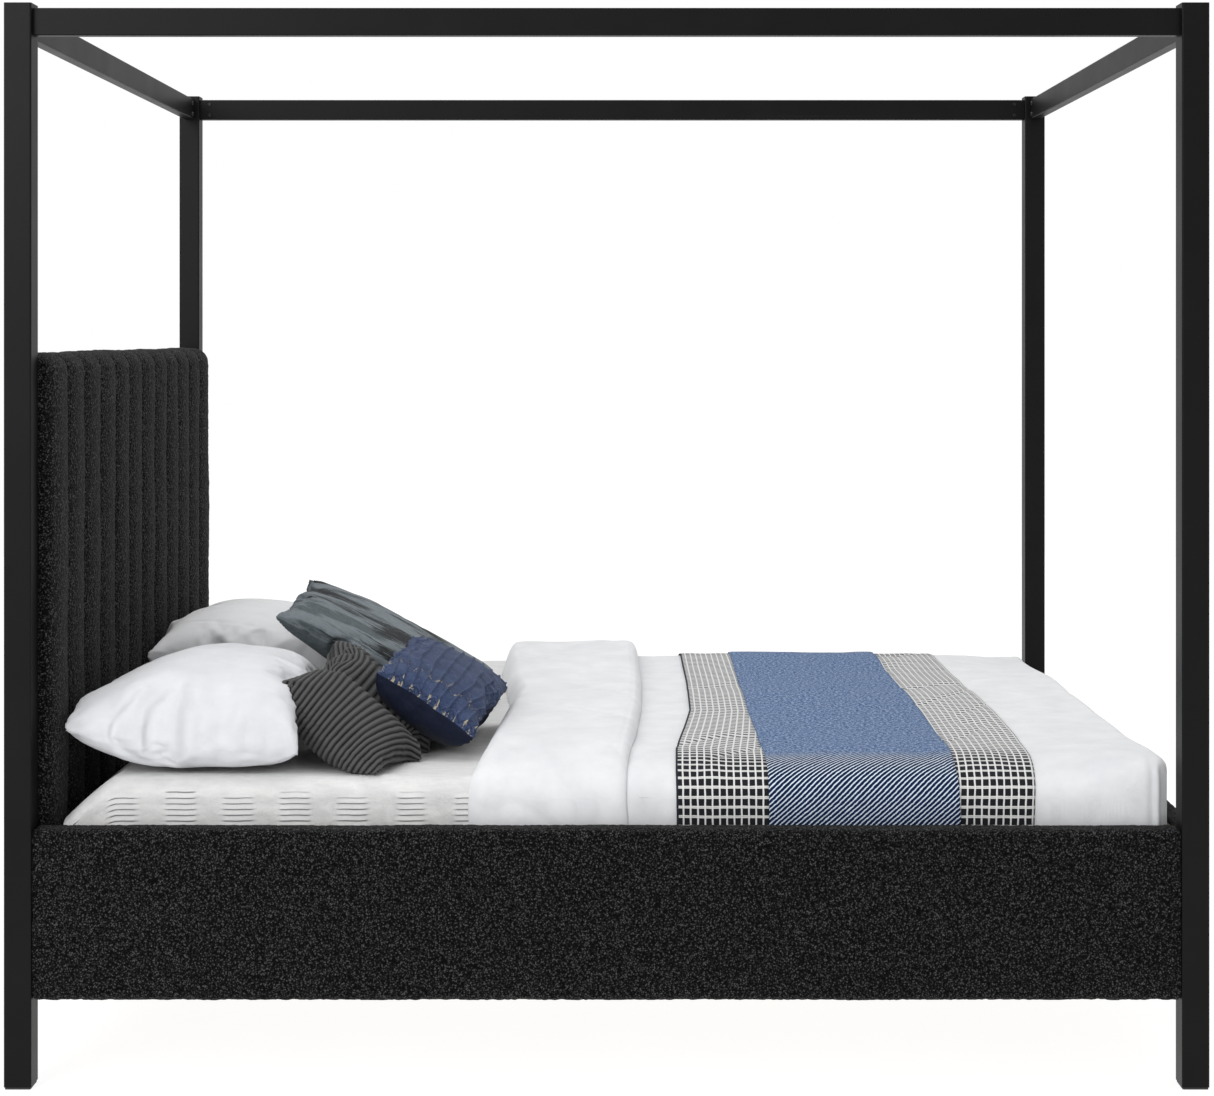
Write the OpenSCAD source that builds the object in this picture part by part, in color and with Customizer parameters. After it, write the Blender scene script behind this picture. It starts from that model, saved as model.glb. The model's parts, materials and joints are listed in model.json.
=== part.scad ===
// Four poster canopy bed, queen size, with its slatted base, mattress, bedding and cushions.
// The origin is on the floor under the middle of the bed. +X points to the foot and +Z up.
// The near side is -Y and the far side is +Y.

/* [Overall] */
// Length over the posts
bed_l = 2184; // [2180:1:2240]
// Width over the posts
bed_w = 1660; // [1656:1:1700]
// Height to the top of the post caps
bed_h = 1969; // [1850:1:2100]

/* [Posts and canopy] */
// Side of the square post
post = 50; // [48:1:52]
// Wall of the post
post_wall = 2; // [1.5:0.5:3]
// Thickness of a canopy rail
canopy_t = 25; // [22:1:30]
// Height of a canopy rail
canopy_h = 50; // [45:1:60]
// How far the posts rise above the canopy rails
canopy_drop = 8; // [5:1:20]

/* [Upholstered rails] */
// Height of the rails above the floor
rail_bottom = 158; // [130:1:160]
// Top of the rails
rail_top = 470; // [450:1:480]
// Thickness of a rail
rail_t = 43; // [40:1:44]
// How far a rail's face lies behind the post's face
rail_setback = 5; // [4:1:7]

/* [Headboard] */
// Top of the headboard
head_top = 1334; // [1200:1:1400]
// Crest of the channels, measured from the outer face of the head posts
head_front = 84; // [80:1:84]
// Number of upright channels
channels = 12; // [8:1:16]

/* [Mattress] */
// Length of the mattress
mattress_l = 2032; // [2020:1:2032]
// Width of the mattress
mattress_w = 1524; // [1500:1:1524]
// Thickness of the mattress
mattress_h = 254; // [220:1:260]
// Underside of the mattress
mattress_z = 291; // [285:1:295]

/* [Slatted base] */
// Number of slats
slats = 12; // [12:1:12]
// Width of a slat
slat_w = 100; // [60:1:110]
// Thickness of a slat
slat_t = 18; // [16:1:22]

/* [Hidden] */
$fn = 48;
eps = 1;            // how far a cut runs past a face
fit_gap = 0.5;      // play between a part and what it slots into
bore_gap = 0.1;     // play round a shank

// Posts
post_x = bed_l / 2 - post / 2;
post_y = bed_w / 2 - post / 2;
face_x = bed_l / 2 - post;      // the posts' faces that the side rails meet
face_y = bed_w / 2 - post;      // the posts' faces that the head and foot panels meet
post_r = 3;
cap_t = 3;
glide_t = 4;
glide_inset = 1.5;
plug_h = 14;
plug_wall = 3;
plug_r = 1.5;

// Canopy
canopy_wall = 1.5;
canopy_r = 2;
canopy_z = bed_h - canopy_drop - canopy_h / 2;
spigot_l = 60;
spigot_wall = 2;
spigot_r = 1.5;
spigot_t = canopy_t - 2 * canopy_wall - 2 * fit_gap;
spigot_h = canopy_h - 2 * canopy_wall - 2 * fit_gap;
canopy_screw_x = 24;
canopy_screw_z = 13.5;
canopy_screw_r = 3;
canopy_head_r = 5.5;
canopy_head_h = 3;
canopy_head_r2 = 3.85;
canopy_shank = 8;
socket_r = 2.3;
socket_depth = 2;
// Each canopy rail end: place on the post's face, turn about Z, side of the rail that faces inwards
CANOPY_ENDS = [
    [[-face_x, -post_y], 0, 1], [[face_x, -post_y], 180, -1],
    [[-face_x, post_y], 0, -1], [[face_x, post_y], 180, 1],
    [[-post_x, -face_y], 90, -1], [[-post_x, face_y], -90, 1],
    [[post_x, -face_y], 90, 1], [[post_x, face_y], -90, -1]
];

// Upholstered rails: a board with padding wrapped round its outer face and its edges
rail_h = rail_top - rail_bottom;
rail_r = 12;
rail_lip = 12;
board_t = 24;
inner_y = bed_w / 2 - rail_setback - rail_t;    // inner face of a side rail
inner_x = bed_l / 2 - rail_setback - rail_t;    // inner face of the footboard
board_y = inner_y + board_t / 2;
board_x = inner_x + board_t / 2;

// Headboard
head_back = bed_l / 2 - 8;      // rear face of the headboard
cloth_t = 2;
cloth_margin = 12;
panel_t = 25;
panel_x = -head_back + cloth_t + panel_t / 2;
head_crest = -bed_l / 2 + head_front;
channel_depth = 13;
channel_p = 2 * face_y / channels;
channel_r = (pow(channel_p / 2, 2) + pow(channel_depth, 2)) / (2 * channel_depth);
head_roll = 30;                 // radius of the rolled top edge

// Hook plates that hang the rails and panels on the posts
plate_t = 3;
plate_w = 22;
plate_h = 160;
hook_w = 3;
hook_z = 45;
hook_up = 11;
hook_root = 8;
hook_drop = 22;
hook_tip = 5;
hook_play = 1;        // room for the post wall behind a hook
slot_w = 4;
slot_h = 32;
rail_plate_z = (rail_top + rail_bottom) / 2;
head_plate_z = head_top - 180;
// Each hook plate: place, turn about Z. Its hooks point along local -X, into the post.
HOOK_ENDS = [
    for (sy = [-1, 1]) [[-face_x, sy * board_y, rail_plate_z], 0],
    for (sy = [-1, 1]) [[face_x, sy * board_y, rail_plate_z], 180],
    for (sy = [-1, 1]) [[board_x, sy * face_y, rail_plate_z], -sy * 90],
    for (sy = [-1, 1], z = [rail_plate_z, head_plate_z]) [[panel_x, sy * face_y, z], -sy * 90]
];
PLATE_SCREW_Z = [-70, 0, 70];

// Wood screws
screw_r = 2.2;
screw_head_r = 4.2;
screw_head_h = 2.2;
plate_screw_l = 30;
ledger_screw_l = 42;

// Slatted base
slat_z = mattress_z - slat_t;
slat_y = inner_y - 2;
slat_first = -940;
slat_last = 980;
ledger = 30;
LEDGER_SCREW_X = [-900, -600, -300, 0, 300, 600, 900];
cross_t = 24;
cross_h = 100;
cross_x = -1000;                // head face of the cross rail
ledger_x0 = cross_x + cross_t + 2;
ledger_x1 = inner_x - 6;
bracket_l = 40;
bracket_t = 3;
bracket_z = [slat_z - cross_h + 5, slat_z - ledger - 5];
strap_t = 1;
strap_w = 30;
strap_y = 480;
hanger_t = 3;
hanger_l = 30;
hanger_flange = 25;
beam_w = 34;
beam_h = 45;
beam_x0 = cross_x + cross_t + hanger_t;
beam_x1 = inner_x - hanger_t;
beam_z = slat_z - beam_h;
LEG_X = [-600, 0, 600];
leg_r = 16;
leg_wall = 1.5;
leg_z = 40;
leg_plate_t = 3;
leg_plate_l = 80;
insert_h = 15;
insert_lip = 3;
stud_r = 4;
stud_gap = 0.05;
stud_top = 90;
pad_r = 20;
pad_h = 8;

// Mattress and bedding
mattress_x0 = -1004;
mattress_x1 = mattress_x0 + mattress_l;
mattress_top = mattress_z + mattress_h;
mattress_r = 60;
ticking_t = 4;
panel_quilt = 14;
base_quilt = 6;
foam_t = 50;
border_z = mattress_z + base_quilt;
border_h = mattress_h - base_quilt - panel_quilt;
coverlet_t = 2;
coverlet_top = 4;
coverlet_inset = 2;
duvet_t = 5;
duvet_top = 25;
fold_top = 28;
check_t = 2.5;
check_top = 3;
blue_t = 2.5;
blue_top = 5;
drape_z = 350;              // how low the bedding is tucked between the mattress and the rails
fold_x = [-226, 50];
check_x = [145, 800];
blue_x = [295, 655];
coverlet_z = mattress_top + coverlet_top;
duvet_z = coverlet_z + duvet_top;
check_z = duvet_z + check_top;
coverlet_y = mattress_w / 2 + coverlet_t;
duvet_y = coverlet_y + duvet_t;
check_y = duvet_y + check_t;
foot_drop = mattress_x1 + coverlet_t + duvet_t;

black_steel = "#2a2a2c";
boucle = "#262626";
timber = "#c9a671";
steel = "#9a9da1";
black_plastic = "#1d1d1f";
ticking = "#e8e6e1";
birch = "#d8bb8c";
webbing = "#3a3a3d";
grey_linen = "#cfcfd0";
white_cotton = "#eceef1";
check_wool = "#4a4c50";
blue_weave = "#4d6285";
charcoal = "#3a3a3b";
grey_green = "#586067";
dusk_blue = "#4d556a";

module round_rect(w, d, r) {
    square([w - 2 * r, d], center = true);
    square([w, d - 2 * r], center = true);
    for (x = [-1, 1], y = [-1, 1])
        translate([x * (w / 2 - r), y * (d / 2 - r)])
            circle(r = r);
}

module tube_profile(w, d, wall, r) {
    difference() {
        round_rect(w, d, r);
        round_rect(w - 2 * wall, d - 2 * wall, r / 2);
    }
}

module box(x, y, z) {
    translate([x[0], y[0], z[0]])
        cube([x[1] - x[0], y[1] - y[0], z[1] - z[0]]);
}

// A cylinder along X, from x to x + l
module pin_x(r, x, l) {
    translate([x, 0, 0])
        rotate([0, 90, 0])
            cylinder(r = r, h = l);
}

// ---- Posts ----

module post_tube(sx, sy) {
    color(black_steel)
        difference() {
            translate([sx * post_x, sy * post_y, glide_t])
                linear_extrude(bed_h - glide_t - cap_t)
                    tube_profile(post, post, post_wall, post_r);
            hook_slots();
        }
}

module hook_slots() {
    for (e = HOOK_ENDS, z = [-hook_z, hook_z])
        translate(e[0])
            rotate([0, 0, e[1]])
                box([-post_wall - eps, eps],
                    [-slot_w / 2, slot_w / 2],
                    [z - slot_h / 2, z + slot_h / 2]);
}

// A plate over each end of the posts, with a hollow plug that slots inside
module post_ends(z_plate, plate, side, z_plug) {
    plug = post - 2 * post_wall - fit_gap;
    color(black_plastic)
        for (sx = [-1, 1], sy = [-1, 1])
            translate([sx * post_x, sy * post_y, 0]) {
                translate([0, 0, z_plate])
                    linear_extrude(plate)
                        round_rect(side, side, post_r);
                translate([0, 0, z_plug])
                    linear_extrude(plug_h)
                        tube_profile(plug, plug, plug_wall, plug_r);
            }
}

module post_caps() {
    post_ends(bed_h - cap_t, cap_t, post, bed_h - cap_t - plug_h);
}

module post_glides() {
    post_ends(0, glide_t, post - 2 * glide_inset, glide_t);
}

// ---- Canopy ----

module at_canopy_ends() {
    for (e = CANOPY_ENDS)
        translate([e[0][0], e[0][1], canopy_z])
            rotate([0, 0, e[1]])
                children();
}

// Two screw places at each canopy rail end, with local +Z pointing inwards
module at_canopy_screws() {
    for (e = CANOPY_ENDS, z = [-canopy_screw_z, canopy_screw_z])
        translate([e[0][0], e[0][1], canopy_z])
            rotate([0, 0, e[1]])
                translate([canopy_screw_x, 0, z])
                    rotate([-90 * e[2], 0, 0])
                        children();
}

module canopy_rail(turn, offset, length) {
    color(black_steel)
        difference() {
            rotate([0, 0, turn])
                translate([-length / 2, offset, canopy_z])
                    rotate([90, 0, 90])
                        linear_extrude(length)
                            tube_profile(canopy_t, canopy_h, canopy_wall, canopy_r);
            at_canopy_screws()
                translate([0, 0, canopy_t / 2 - canopy_wall - eps])
                    cylinder(r = canopy_screw_r + bore_gap, h = canopy_wall + 2 * eps);
        }
}

module canopy_spigots() {
    color(steel)
        difference() {
            at_canopy_ends()
                rotate([90, 0, 90])
                    linear_extrude(spigot_l)
                        tube_profile(spigot_t, spigot_h, spigot_wall, spigot_r);
            at_canopy_screws()
                translate([0, 0, spigot_t / 2 - spigot_wall - eps])
                    cylinder(r = canopy_screw_r + bore_gap, h = spigot_wall + 2 * eps);
        }
}

// Button head screws with a hexagon socket
module canopy_screws() {
    color(black_plastic)
        at_canopy_screws()
            translate([0, 0, canopy_t / 2])
                difference() {
                    union() {
                        translate([0, 0, -canopy_shank])
                            cylinder(r = canopy_screw_r, h = canopy_shank);
                        cylinder(r1 = canopy_head_r, r2 = canopy_head_r2, h = canopy_head_h);
                    }
                    translate([0, 0, canopy_head_h - socket_depth])
                        cylinder(r = socket_r, h = socket_depth + eps, $fn = 6);
                }
}

// ---- Headboard ----

module headboard_panel() {
    color(timber)
        difference() {
            box([panel_x - panel_t / 2, panel_x + panel_t / 2],
                [-face_y + plate_t, face_y - plate_t],
                [rail_bottom + rail_lip, head_top - rail_lip]);
            plate_screw_bores();
        }
}

// Plan of the padding: a row of arcs along the front
module channel_plan() {
    rear_x = panel_x - panel_t / 2;
    valley = head_crest - channel_depth;
    translate([rear_x, -face_y])
        square([valley - rear_x, 2 * face_y]);
    for (k = [0:channels - 1])
        intersection() {
            translate([head_crest - channel_r, -face_y + (k + 0.5) * channel_p])
                circle(r = channel_r, $fn = 96);
            translate([valley - eps, -face_y + k * channel_p])
                square([channel_depth + 2 * eps, channel_p]);
        }
}

// Side view of the padding, with the rolled top edge at the front
module head_side_view() {
    width = head_crest + head_back;
    translate([-head_back, rail_bottom])
        square([width, head_top - rail_bottom - head_roll]);
    translate([-head_back, rail_bottom])
        square([width - head_roll, head_top - rail_bottom]);
    translate([head_crest - head_roll, head_top - head_roll])
        circle(r = head_roll);
}

module headboard_padding() {
    color(boucle)
        difference() {
            intersection() {
                translate([0, 0, rail_bottom])
                    linear_extrude(head_top - rail_bottom)
                        channel_plan();
                translate([0, face_y + eps, 0])
                    rotate([90, 0, 0])
                        linear_extrude(2 * face_y + 2 * eps)
                            head_side_view();
            }
            box([panel_x - panel_t / 2 - eps, panel_x + panel_t / 2],
                [-face_y - eps, face_y + eps],
                [rail_bottom + rail_lip, head_top - rail_lip]);
        }
}

module headboard_back_cloth() {
    color(black_plastic)
        box([-head_back, -head_back + cloth_t],
            [-face_y + cloth_margin, face_y - cloth_margin],
            [rail_bottom + rail_lip / 2, head_top - rail_lip / 2]);
}

// ---- Side rails and footboard ----

// Section of a rail's padding: x is the depth behind the outer face and y the height
module padding_section() {
    difference() {
        union() {
            translate([rail_r, 0])
                square([rail_t - rail_r, rail_h]);
            translate([0, rail_r])
                square([rail_t, rail_h - 2 * rail_r]);
            for (z = [rail_r, rail_h - rail_r])
                translate([rail_r, z])
                    circle(r = rail_r);
        }
        translate([rail_t - board_t, rail_lip])
            square([board_t + eps, rail_h - 2 * rail_lip]);
    }
}

module rail_padding(turn, length, inner) {
    color(boucle)
        rotate([0, 0, turn])
            translate([-length / 2, -inner - rail_t, rail_bottom])
                rotate([90, 0, 90])
                    linear_extrude(length)
                        padding_section();
}

module rail_board(turn, length, inner) {
    color(timber)
        difference() {
            rotate([0, 0, turn])
                box([-length / 2 + plate_t, length / 2 - plate_t],
                    [-inner - board_t, -inner],
                    [rail_bottom + rail_lip, rail_top - rail_lip]);
            plate_screw_bores();
            ledger_screw_bores();
        }
}

// ---- Hook plates ----

module at_plate_screws() {
    for (e = HOOK_ENDS, z = PLATE_SCREW_Z)
        translate(e[0] + [0, 0, z])
            rotate([0, 0, e[1]])
                children();
}

module plate_screw_bores() {
    at_plate_screws()
        pin_x(screw_r + bore_gap, plate_t - eps, plate_screw_l - plate_t + 2 * eps);
}

// A countersunk screw from x = 0 along +X
module flat_screw(r, head_r, l) {
    rotate([0, 90, 0]) {
        cylinder(r = r, h = l);
        cylinder(r1 = head_r, r2 = r, h = screw_head_h);
    }
}

module hook_plates() {
    lip_x = -post_wall - hook_play;
    color(steel)
        difference() {
            for (e = HOOK_ENDS)
                translate(e[0])
                    rotate([0, 0, e[1]]) {
                        box([0, plate_t], [-plate_w / 2, plate_w / 2], [-plate_h / 2, plate_h / 2]);
                        for (z = [-hook_z, hook_z]) {
                            box([lip_x, 0],
                                [-hook_w / 2, hook_w / 2],
                                [z - hook_root, z + hook_up]);
                            box([lip_x - hook_tip, lip_x],
                                [-hook_w / 2, hook_w / 2],
                                [z - hook_drop, z + hook_up]);
                        }
                    }
            at_plate_screws()
                flat_screw(screw_r + bore_gap, screw_head_r + bore_gap, plate_t + eps);
        }
}

// ---- Slatted base ----

// Ledger screws run outwards from the inner face of each ledger
module at_ledger_screws() {
    for (sy = [-1, 1], x = LEDGER_SCREW_X)
        translate([x, sy * (inner_y - ledger), slat_z - ledger / 2])
            rotate([0, 0, sy * 90])
                children();
}

module ledger_screw_bores() {
    at_ledger_screws()
        pin_x(screw_r + bore_gap, -eps, ledger_screw_l + 2 * eps);
}

module wood_screws() {
    color(steel) {
        at_plate_screws()
            flat_screw(screw_r, screw_head_r, plate_screw_l);
        at_ledger_screws() {
            pin_x(screw_r, 0, ledger_screw_l);
            pin_x(screw_head_r, -screw_head_h, screw_head_h);
        }
    }
}

module slat_ledger(sy) {
    color(timber)
        difference() {
            box([ledger_x0, ledger_x1],
                [sy * (inner_y - ledger / 2) - ledger / 2, sy * (inner_y - ledger / 2) + ledger / 2],
                [slat_z - ledger, slat_z]);
            ledger_screw_bores();
        }
}

module head_cross_rail() {
    color(timber)
        box([cross_x, cross_x + cross_t], [-inner_y, inner_y], [slat_z - cross_h, slat_z]);
}

// Angle brackets between the head cross rail and the side rails
module cross_rail_brackets() {
    x0 = cross_x + cross_t;
    color(steel)
        for (sy = [-1, 1]) {
            y0 = sy * inner_y;
            y1 = sy * (inner_y - bracket_l);
            y2 = sy * (inner_y - bracket_t);
            box([x0, x0 + bracket_t], [min(y0, y1), max(y0, y1)], bracket_z);
            box([x0, x0 + bracket_l], [min(y0, y2), max(y0, y2)], bracket_z);
        }
}

module slat(i) {
    x = slat_first + i * (slat_last - slat_first) / (slats - 1);
    color(birch)
        box([x - slat_w / 2, x + slat_w / 2], [-slat_y, slat_y], [slat_z, slat_z + slat_t]);
}

// Webbing stapled under the slats to hold them at their spacing
module slat_straps() {
    color(webbing)
        for (sy = [-1, 1])
            box([slat_first, slat_last],
                [sy * strap_y - strap_w / 2, sy * strap_y + strap_w / 2],
                [slat_z - strap_t, slat_z]);
}

module centre_beam() {
    color(timber)
        box([beam_x0, beam_x1], [-beam_w / 2, beam_w / 2], [beam_z, slat_z]);
}

// U-shaped hangers that carry the beam's two ends
module beam_hangers() {
    half = beam_w / 2 + hanger_t;
    color(steel)
        for (side = [[cross_x + cross_t, 1], [inner_x, -1]])
            translate([side[0], 0, 0])
                for (sy = [-1, 1]) {
                    x_back = side[1] > 0 ? [0, hanger_t] : [-hanger_t, 0];
                    x_arm = side[1] > 0 ? [0, hanger_l] : [-hanger_l, 0];
                    y_arm = sy > 0 ? [beam_w / 2, half] : [-half, -beam_w / 2];
                    y_flange = sy > 0 ? [half, half + hanger_flange] : [-half - hanger_flange, -half];
                    box(x_arm, y_arm, [beam_z - hanger_t, slat_z]);
                    box(x_arm, [-half, half], [beam_z - hanger_t, beam_z]);
                    box(x_back, y_flange, [beam_z - hanger_t, slat_z]);
                }
}

// Tubular legs with a plate screwed under the beam and a threaded insert in the lower end
module centre_legs() {
    plate_z = beam_z - leg_plate_t;
    color(black_steel)
        for (x = LEG_X)
            translate([x, 0, 0]) {
                difference() {
                    translate([0, 0, leg_z])
                        cylinder(r = leg_r, h = plate_z - leg_z);
                    translate([0, 0, leg_z - eps])
                        cylinder(r = leg_r - leg_wall, h = plate_z - leg_z + 2 * eps);
                }
                box([-leg_plate_l / 2, leg_plate_l / 2], [-beam_w / 2, beam_w / 2], [plate_z, beam_z]);
                difference() {
                    union() {
                        translate([0, 0, leg_z])
                            cylinder(r = leg_r - leg_wall, h = insert_h);
                        translate([0, 0, leg_z - insert_lip])
                            cylinder(r = leg_r, h = insert_lip);
                    }
                    translate([0, 0, leg_z - insert_lip - eps])
                        cylinder(r = stud_r + stud_gap, h = insert_h + insert_lip + 2 * eps);
                }
            }
}

module leveller(k) {
    color(black_plastic)
        translate([LEG_X[k], 0, 0]) {
            cylinder(r = pad_r, h = pad_h);
            cylinder(r = stud_r, h = stud_top);
        }
}

// ---- Mattress ----

module mattress_plan(inset) {
    translate([mattress_x0 + mattress_l / 2, 0])
        round_rect(mattress_l - 2 * inset, mattress_w - 2 * inset, mattress_r - inset);
}

module mattress_layer(z, h, inset, tint) {
    color(tint)
        translate([0, 0, z])
            linear_extrude(h)
                mattress_plan(inset);
}

module mattress_border() {
    color(ticking)
        translate([0, 0, border_z])
            linear_extrude(border_h)
                difference() {
                    mattress_plan(0);
                    mattress_plan(ticking_t);
                }
}

// ---- Bedding ----

// A cover over the mattress from x[0] to x[1]: a top of thickness h and side drops of thickness t.
// The foot end hangs down too when x[1] reaches past it.
module cover(x, y_in, t, z_in, h, x_in) {
    difference() {
        box(x, [-y_in - t, y_in + t], [drape_z, z_in + h]);
        box([x[0] - eps, min(x_in, x[1] + eps)], [-y_in, y_in], [drape_z - eps, z_in]);
    }
}

module coverlet() {
    color(grey_linen)
        cover([mattress_x0 + coverlet_inset, mattress_x1 + coverlet_t], mattress_w / 2, coverlet_t,
              mattress_top, coverlet_top, mattress_x1);
}

module duvet() {
    color(white_cotton) {
        cover([fold_x[0], foot_drop], coverlet_y, duvet_t,
              coverlet_z, duvet_top, mattress_x1 + coverlet_t);
        box(fold_x, [-duvet_y, duvet_y], [duvet_z - eps, duvet_z + fold_top]);
    }
}

module check_throw() {
    color(check_wool)
        cover(check_x, duvet_y, check_t, duvet_z, check_top, foot_drop);
}

module blue_throw() {
    color(blue_weave)
        cover(blue_x, check_y, blue_t, check_z, blue_top, foot_drop);
}

// ---- Pillows and cushions ----

// Each pillow: centre, turns about X, Y and Z, length, width and thickness
PILLOW_NEAR = [[-791, -445, 654], [4, 6, 0.5], [430, 640, 190]];
PILLOW_FAR = [[-791, 285, 642], [0, 6, 0], [430, 640, 180]];
PRINTED = [[-480, 14, 709], [-1, 28, 0.5], [430, 420, 96]];
RIBBED = [[-498, -531, 649], [0, 46, -5], [265, 410, 98]];
BLUE = [[-358, -405, 667], [0, 30.5, -4], [252, 390, 98]];
cushion_rim = 12;           // thickness at the seam
cushion_cross = 1.12;       // how much higher the arch along the width is drawn

// A low arch of the given width and thickness, the same above and below
module cushion_arch(w, t) {
    rise = (t - cushion_rim) / 2;
    r = (pow(w / 2, 2) + pow(rise, 2)) / (2 * rise);
    intersection() {
        translate([0, t / 2 - r])
            circle(r = r, $fn = 180);
        translate([0, r - t / 2])
            circle(r = r, $fn = 180);
        square([w, t], center = true);
    }
}

// A cushion that is arched along both its length and its width
module cushion(p, tint) {
    size = p[2];
    color(tint)
        translate(p[0])
            rotate(p[1])
                intersection() {
                    translate([0, size[1] / 2, 0])
                        rotate([90, 0, 0])
                            linear_extrude(size[1])
                                cushion_arch(size[0], size[2]);
                    translate([-size[0] / 2, 0, 0])
                        rotate([90, 0, 90])
                            linear_extrude(size[0])
                                cushion_arch(size[1], size[2] * cushion_cross);
                }
}

// ---- Sub-parts ----

module post_head_near() { post_tube(-1, -1); }
module post_head_far() { post_tube(-1, 1); }
module post_foot_near() { post_tube(1, -1); }
module post_foot_far() { post_tube(1, 1); }
module canopy_rail_near() { canopy_rail(0, -post_y, 2 * face_x); }
module canopy_rail_far() { canopy_rail(0, post_y, 2 * face_x); }
module canopy_rail_head() { canopy_rail(90, post_x, 2 * face_y); }
module canopy_rail_foot() { canopy_rail(90, -post_x, 2 * face_y); }
module side_rail_near_board() { rail_board(0, 2 * face_x, inner_y); }
module side_rail_near_padding() { rail_padding(0, 2 * face_x, inner_y); }
module side_rail_far_board() { rail_board(180, 2 * face_x, inner_y); }
module side_rail_far_padding() { rail_padding(180, 2 * face_x, inner_y); }
module footboard_board() { rail_board(90, 2 * face_y, inner_x); }
module footboard_padding() { rail_padding(90, 2 * face_y, inner_x); }
module slat_ledger_near() { slat_ledger(-1); }
module slat_ledger_far() { slat_ledger(1); }
module slat_01() { slat(0); }
module slat_02() { slat(1); }
module slat_03() { slat(2); }
module slat_04() { slat(3); }
module slat_05() { slat(4); }
module slat_06() { slat(5); }
module slat_07() { slat(6); }
module slat_08() { slat(7); }
module slat_09() { slat(8); }
module slat_10() { slat(9); }
module slat_11() { slat(10); }
module slat_12() { slat(11); }
module leveller_head() { leveller(0); }
module leveller_middle() { leveller(1); }
module leveller_foot() { leveller(2); }
module mattress_top_panel() { mattress_layer(mattress_top - panel_quilt, panel_quilt, 0, ticking); }
module mattress_base_panel() { mattress_layer(mattress_z, base_quilt, 0, ticking); }
module mattress_foam() {
    mattress_layer(mattress_top - panel_quilt - foam_t, foam_t, ticking_t, "#e3dcb8");
}
module mattress_springs() {
    mattress_layer(border_z, border_h - foam_t, ticking_t, "#b9bcc0");
}
module pillow_near() { cushion(PILLOW_NEAR, white_cotton); }
module pillow_far() { cushion(PILLOW_FAR, white_cotton); }
module ribbed_cushion() { cushion(RIBBED, charcoal); }
module printed_cushion() { cushion(PRINTED, grey_green); }
module blue_cushion() { cushion(BLUE, dusk_blue); }

post_head_near();
post_head_far();
post_foot_near();
post_foot_far();
post_caps();
post_glides();
canopy_rail_near();
canopy_rail_far();
canopy_rail_head();
canopy_rail_foot();
canopy_spigots();
canopy_screws();
headboard_panel();
headboard_padding();
headboard_back_cloth();
side_rail_near_board();
side_rail_near_padding();
side_rail_far_board();
side_rail_far_padding();
footboard_board();
footboard_padding();
hook_plates();
wood_screws();
slat_ledger_near();
slat_ledger_far();
head_cross_rail();
cross_rail_brackets();
slat_01();
slat_02();
slat_03();
slat_04();
slat_05();
slat_06();
slat_07();
slat_08();
slat_09();
slat_10();
slat_11();
slat_12();
slat_straps();
centre_beam();
beam_hangers();
centre_legs();
leveller_head();
leveller_middle();
leveller_foot();
mattress_top_panel();
mattress_border();
mattress_base_panel();
mattress_foam();
mattress_springs();
coverlet();
duvet();
check_throw();
blue_throw();
pillow_near();
pillow_far();
ribbed_cushion();
printed_cushion();
blue_cushion();
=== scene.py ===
import json
import math
import bmesh
import bpy
import numpy as np
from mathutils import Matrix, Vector
from mathutils.bvhtree import BVHTree


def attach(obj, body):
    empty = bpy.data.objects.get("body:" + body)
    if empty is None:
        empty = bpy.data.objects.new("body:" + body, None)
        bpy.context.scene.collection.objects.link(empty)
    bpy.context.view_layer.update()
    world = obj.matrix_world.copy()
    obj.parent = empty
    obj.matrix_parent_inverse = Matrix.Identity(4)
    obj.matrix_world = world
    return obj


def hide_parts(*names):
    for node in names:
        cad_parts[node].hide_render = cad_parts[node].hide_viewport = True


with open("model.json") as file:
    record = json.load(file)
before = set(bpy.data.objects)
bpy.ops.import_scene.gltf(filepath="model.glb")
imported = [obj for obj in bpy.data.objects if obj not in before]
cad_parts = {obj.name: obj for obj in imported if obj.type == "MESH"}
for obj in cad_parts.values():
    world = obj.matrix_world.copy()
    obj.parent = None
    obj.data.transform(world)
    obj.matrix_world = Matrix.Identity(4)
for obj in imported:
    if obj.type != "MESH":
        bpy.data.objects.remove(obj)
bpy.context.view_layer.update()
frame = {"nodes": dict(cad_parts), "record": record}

# ---------------- sizes, metres
BED_L, BED_W = 2.184, 1.660
FACE_X, FACE_Y = 1.042, 0.780                          # posts' inner faces
OUT_X, OUT_Y = BED_L / 2 - 0.005, BED_W / 2 - 0.005    # outer faces of the upholstered rails
RAIL_Z = (0.158, 0.470)
RAIL_H = RAIL_Z[1] - RAIL_Z[0]
HEAD_TOP = 1.334
MAT_LOW, MAT_TOP = 0.291, 0.545                        # mattress
COVER_Z, COVER_Y = 0.549, 0.7625                       # coverlet
COVER_ROLL = 0.03                                      # its radius over the mattress's side edges
TUCK_PITCH, COLUMN_PITCH = 0.0106, 0.1064              # its tucks, and their columns along the bed
DUVET_TOP, DUVET_Y = 0.5745, 0.7690
DUVET_MIDDLE = 0.58                                    # the duvet's grid is finer beyond this
DUVET_HEAD = -0.195                                    # where the duvet's body starts
BED_GAP = 0.0012                                       # between the duvet and the coverlet
SHOULDER_Y, SHOULDER_DROP = 0.60, 0.075                # where its top rounds off, and how deep
DROP_Z = 0.352                                         # lower edge of what hangs at the sides
FOOT_X = 1.030
HEAD_X = -1.0065                                       # pillows end here, in front of the headboard


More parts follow.
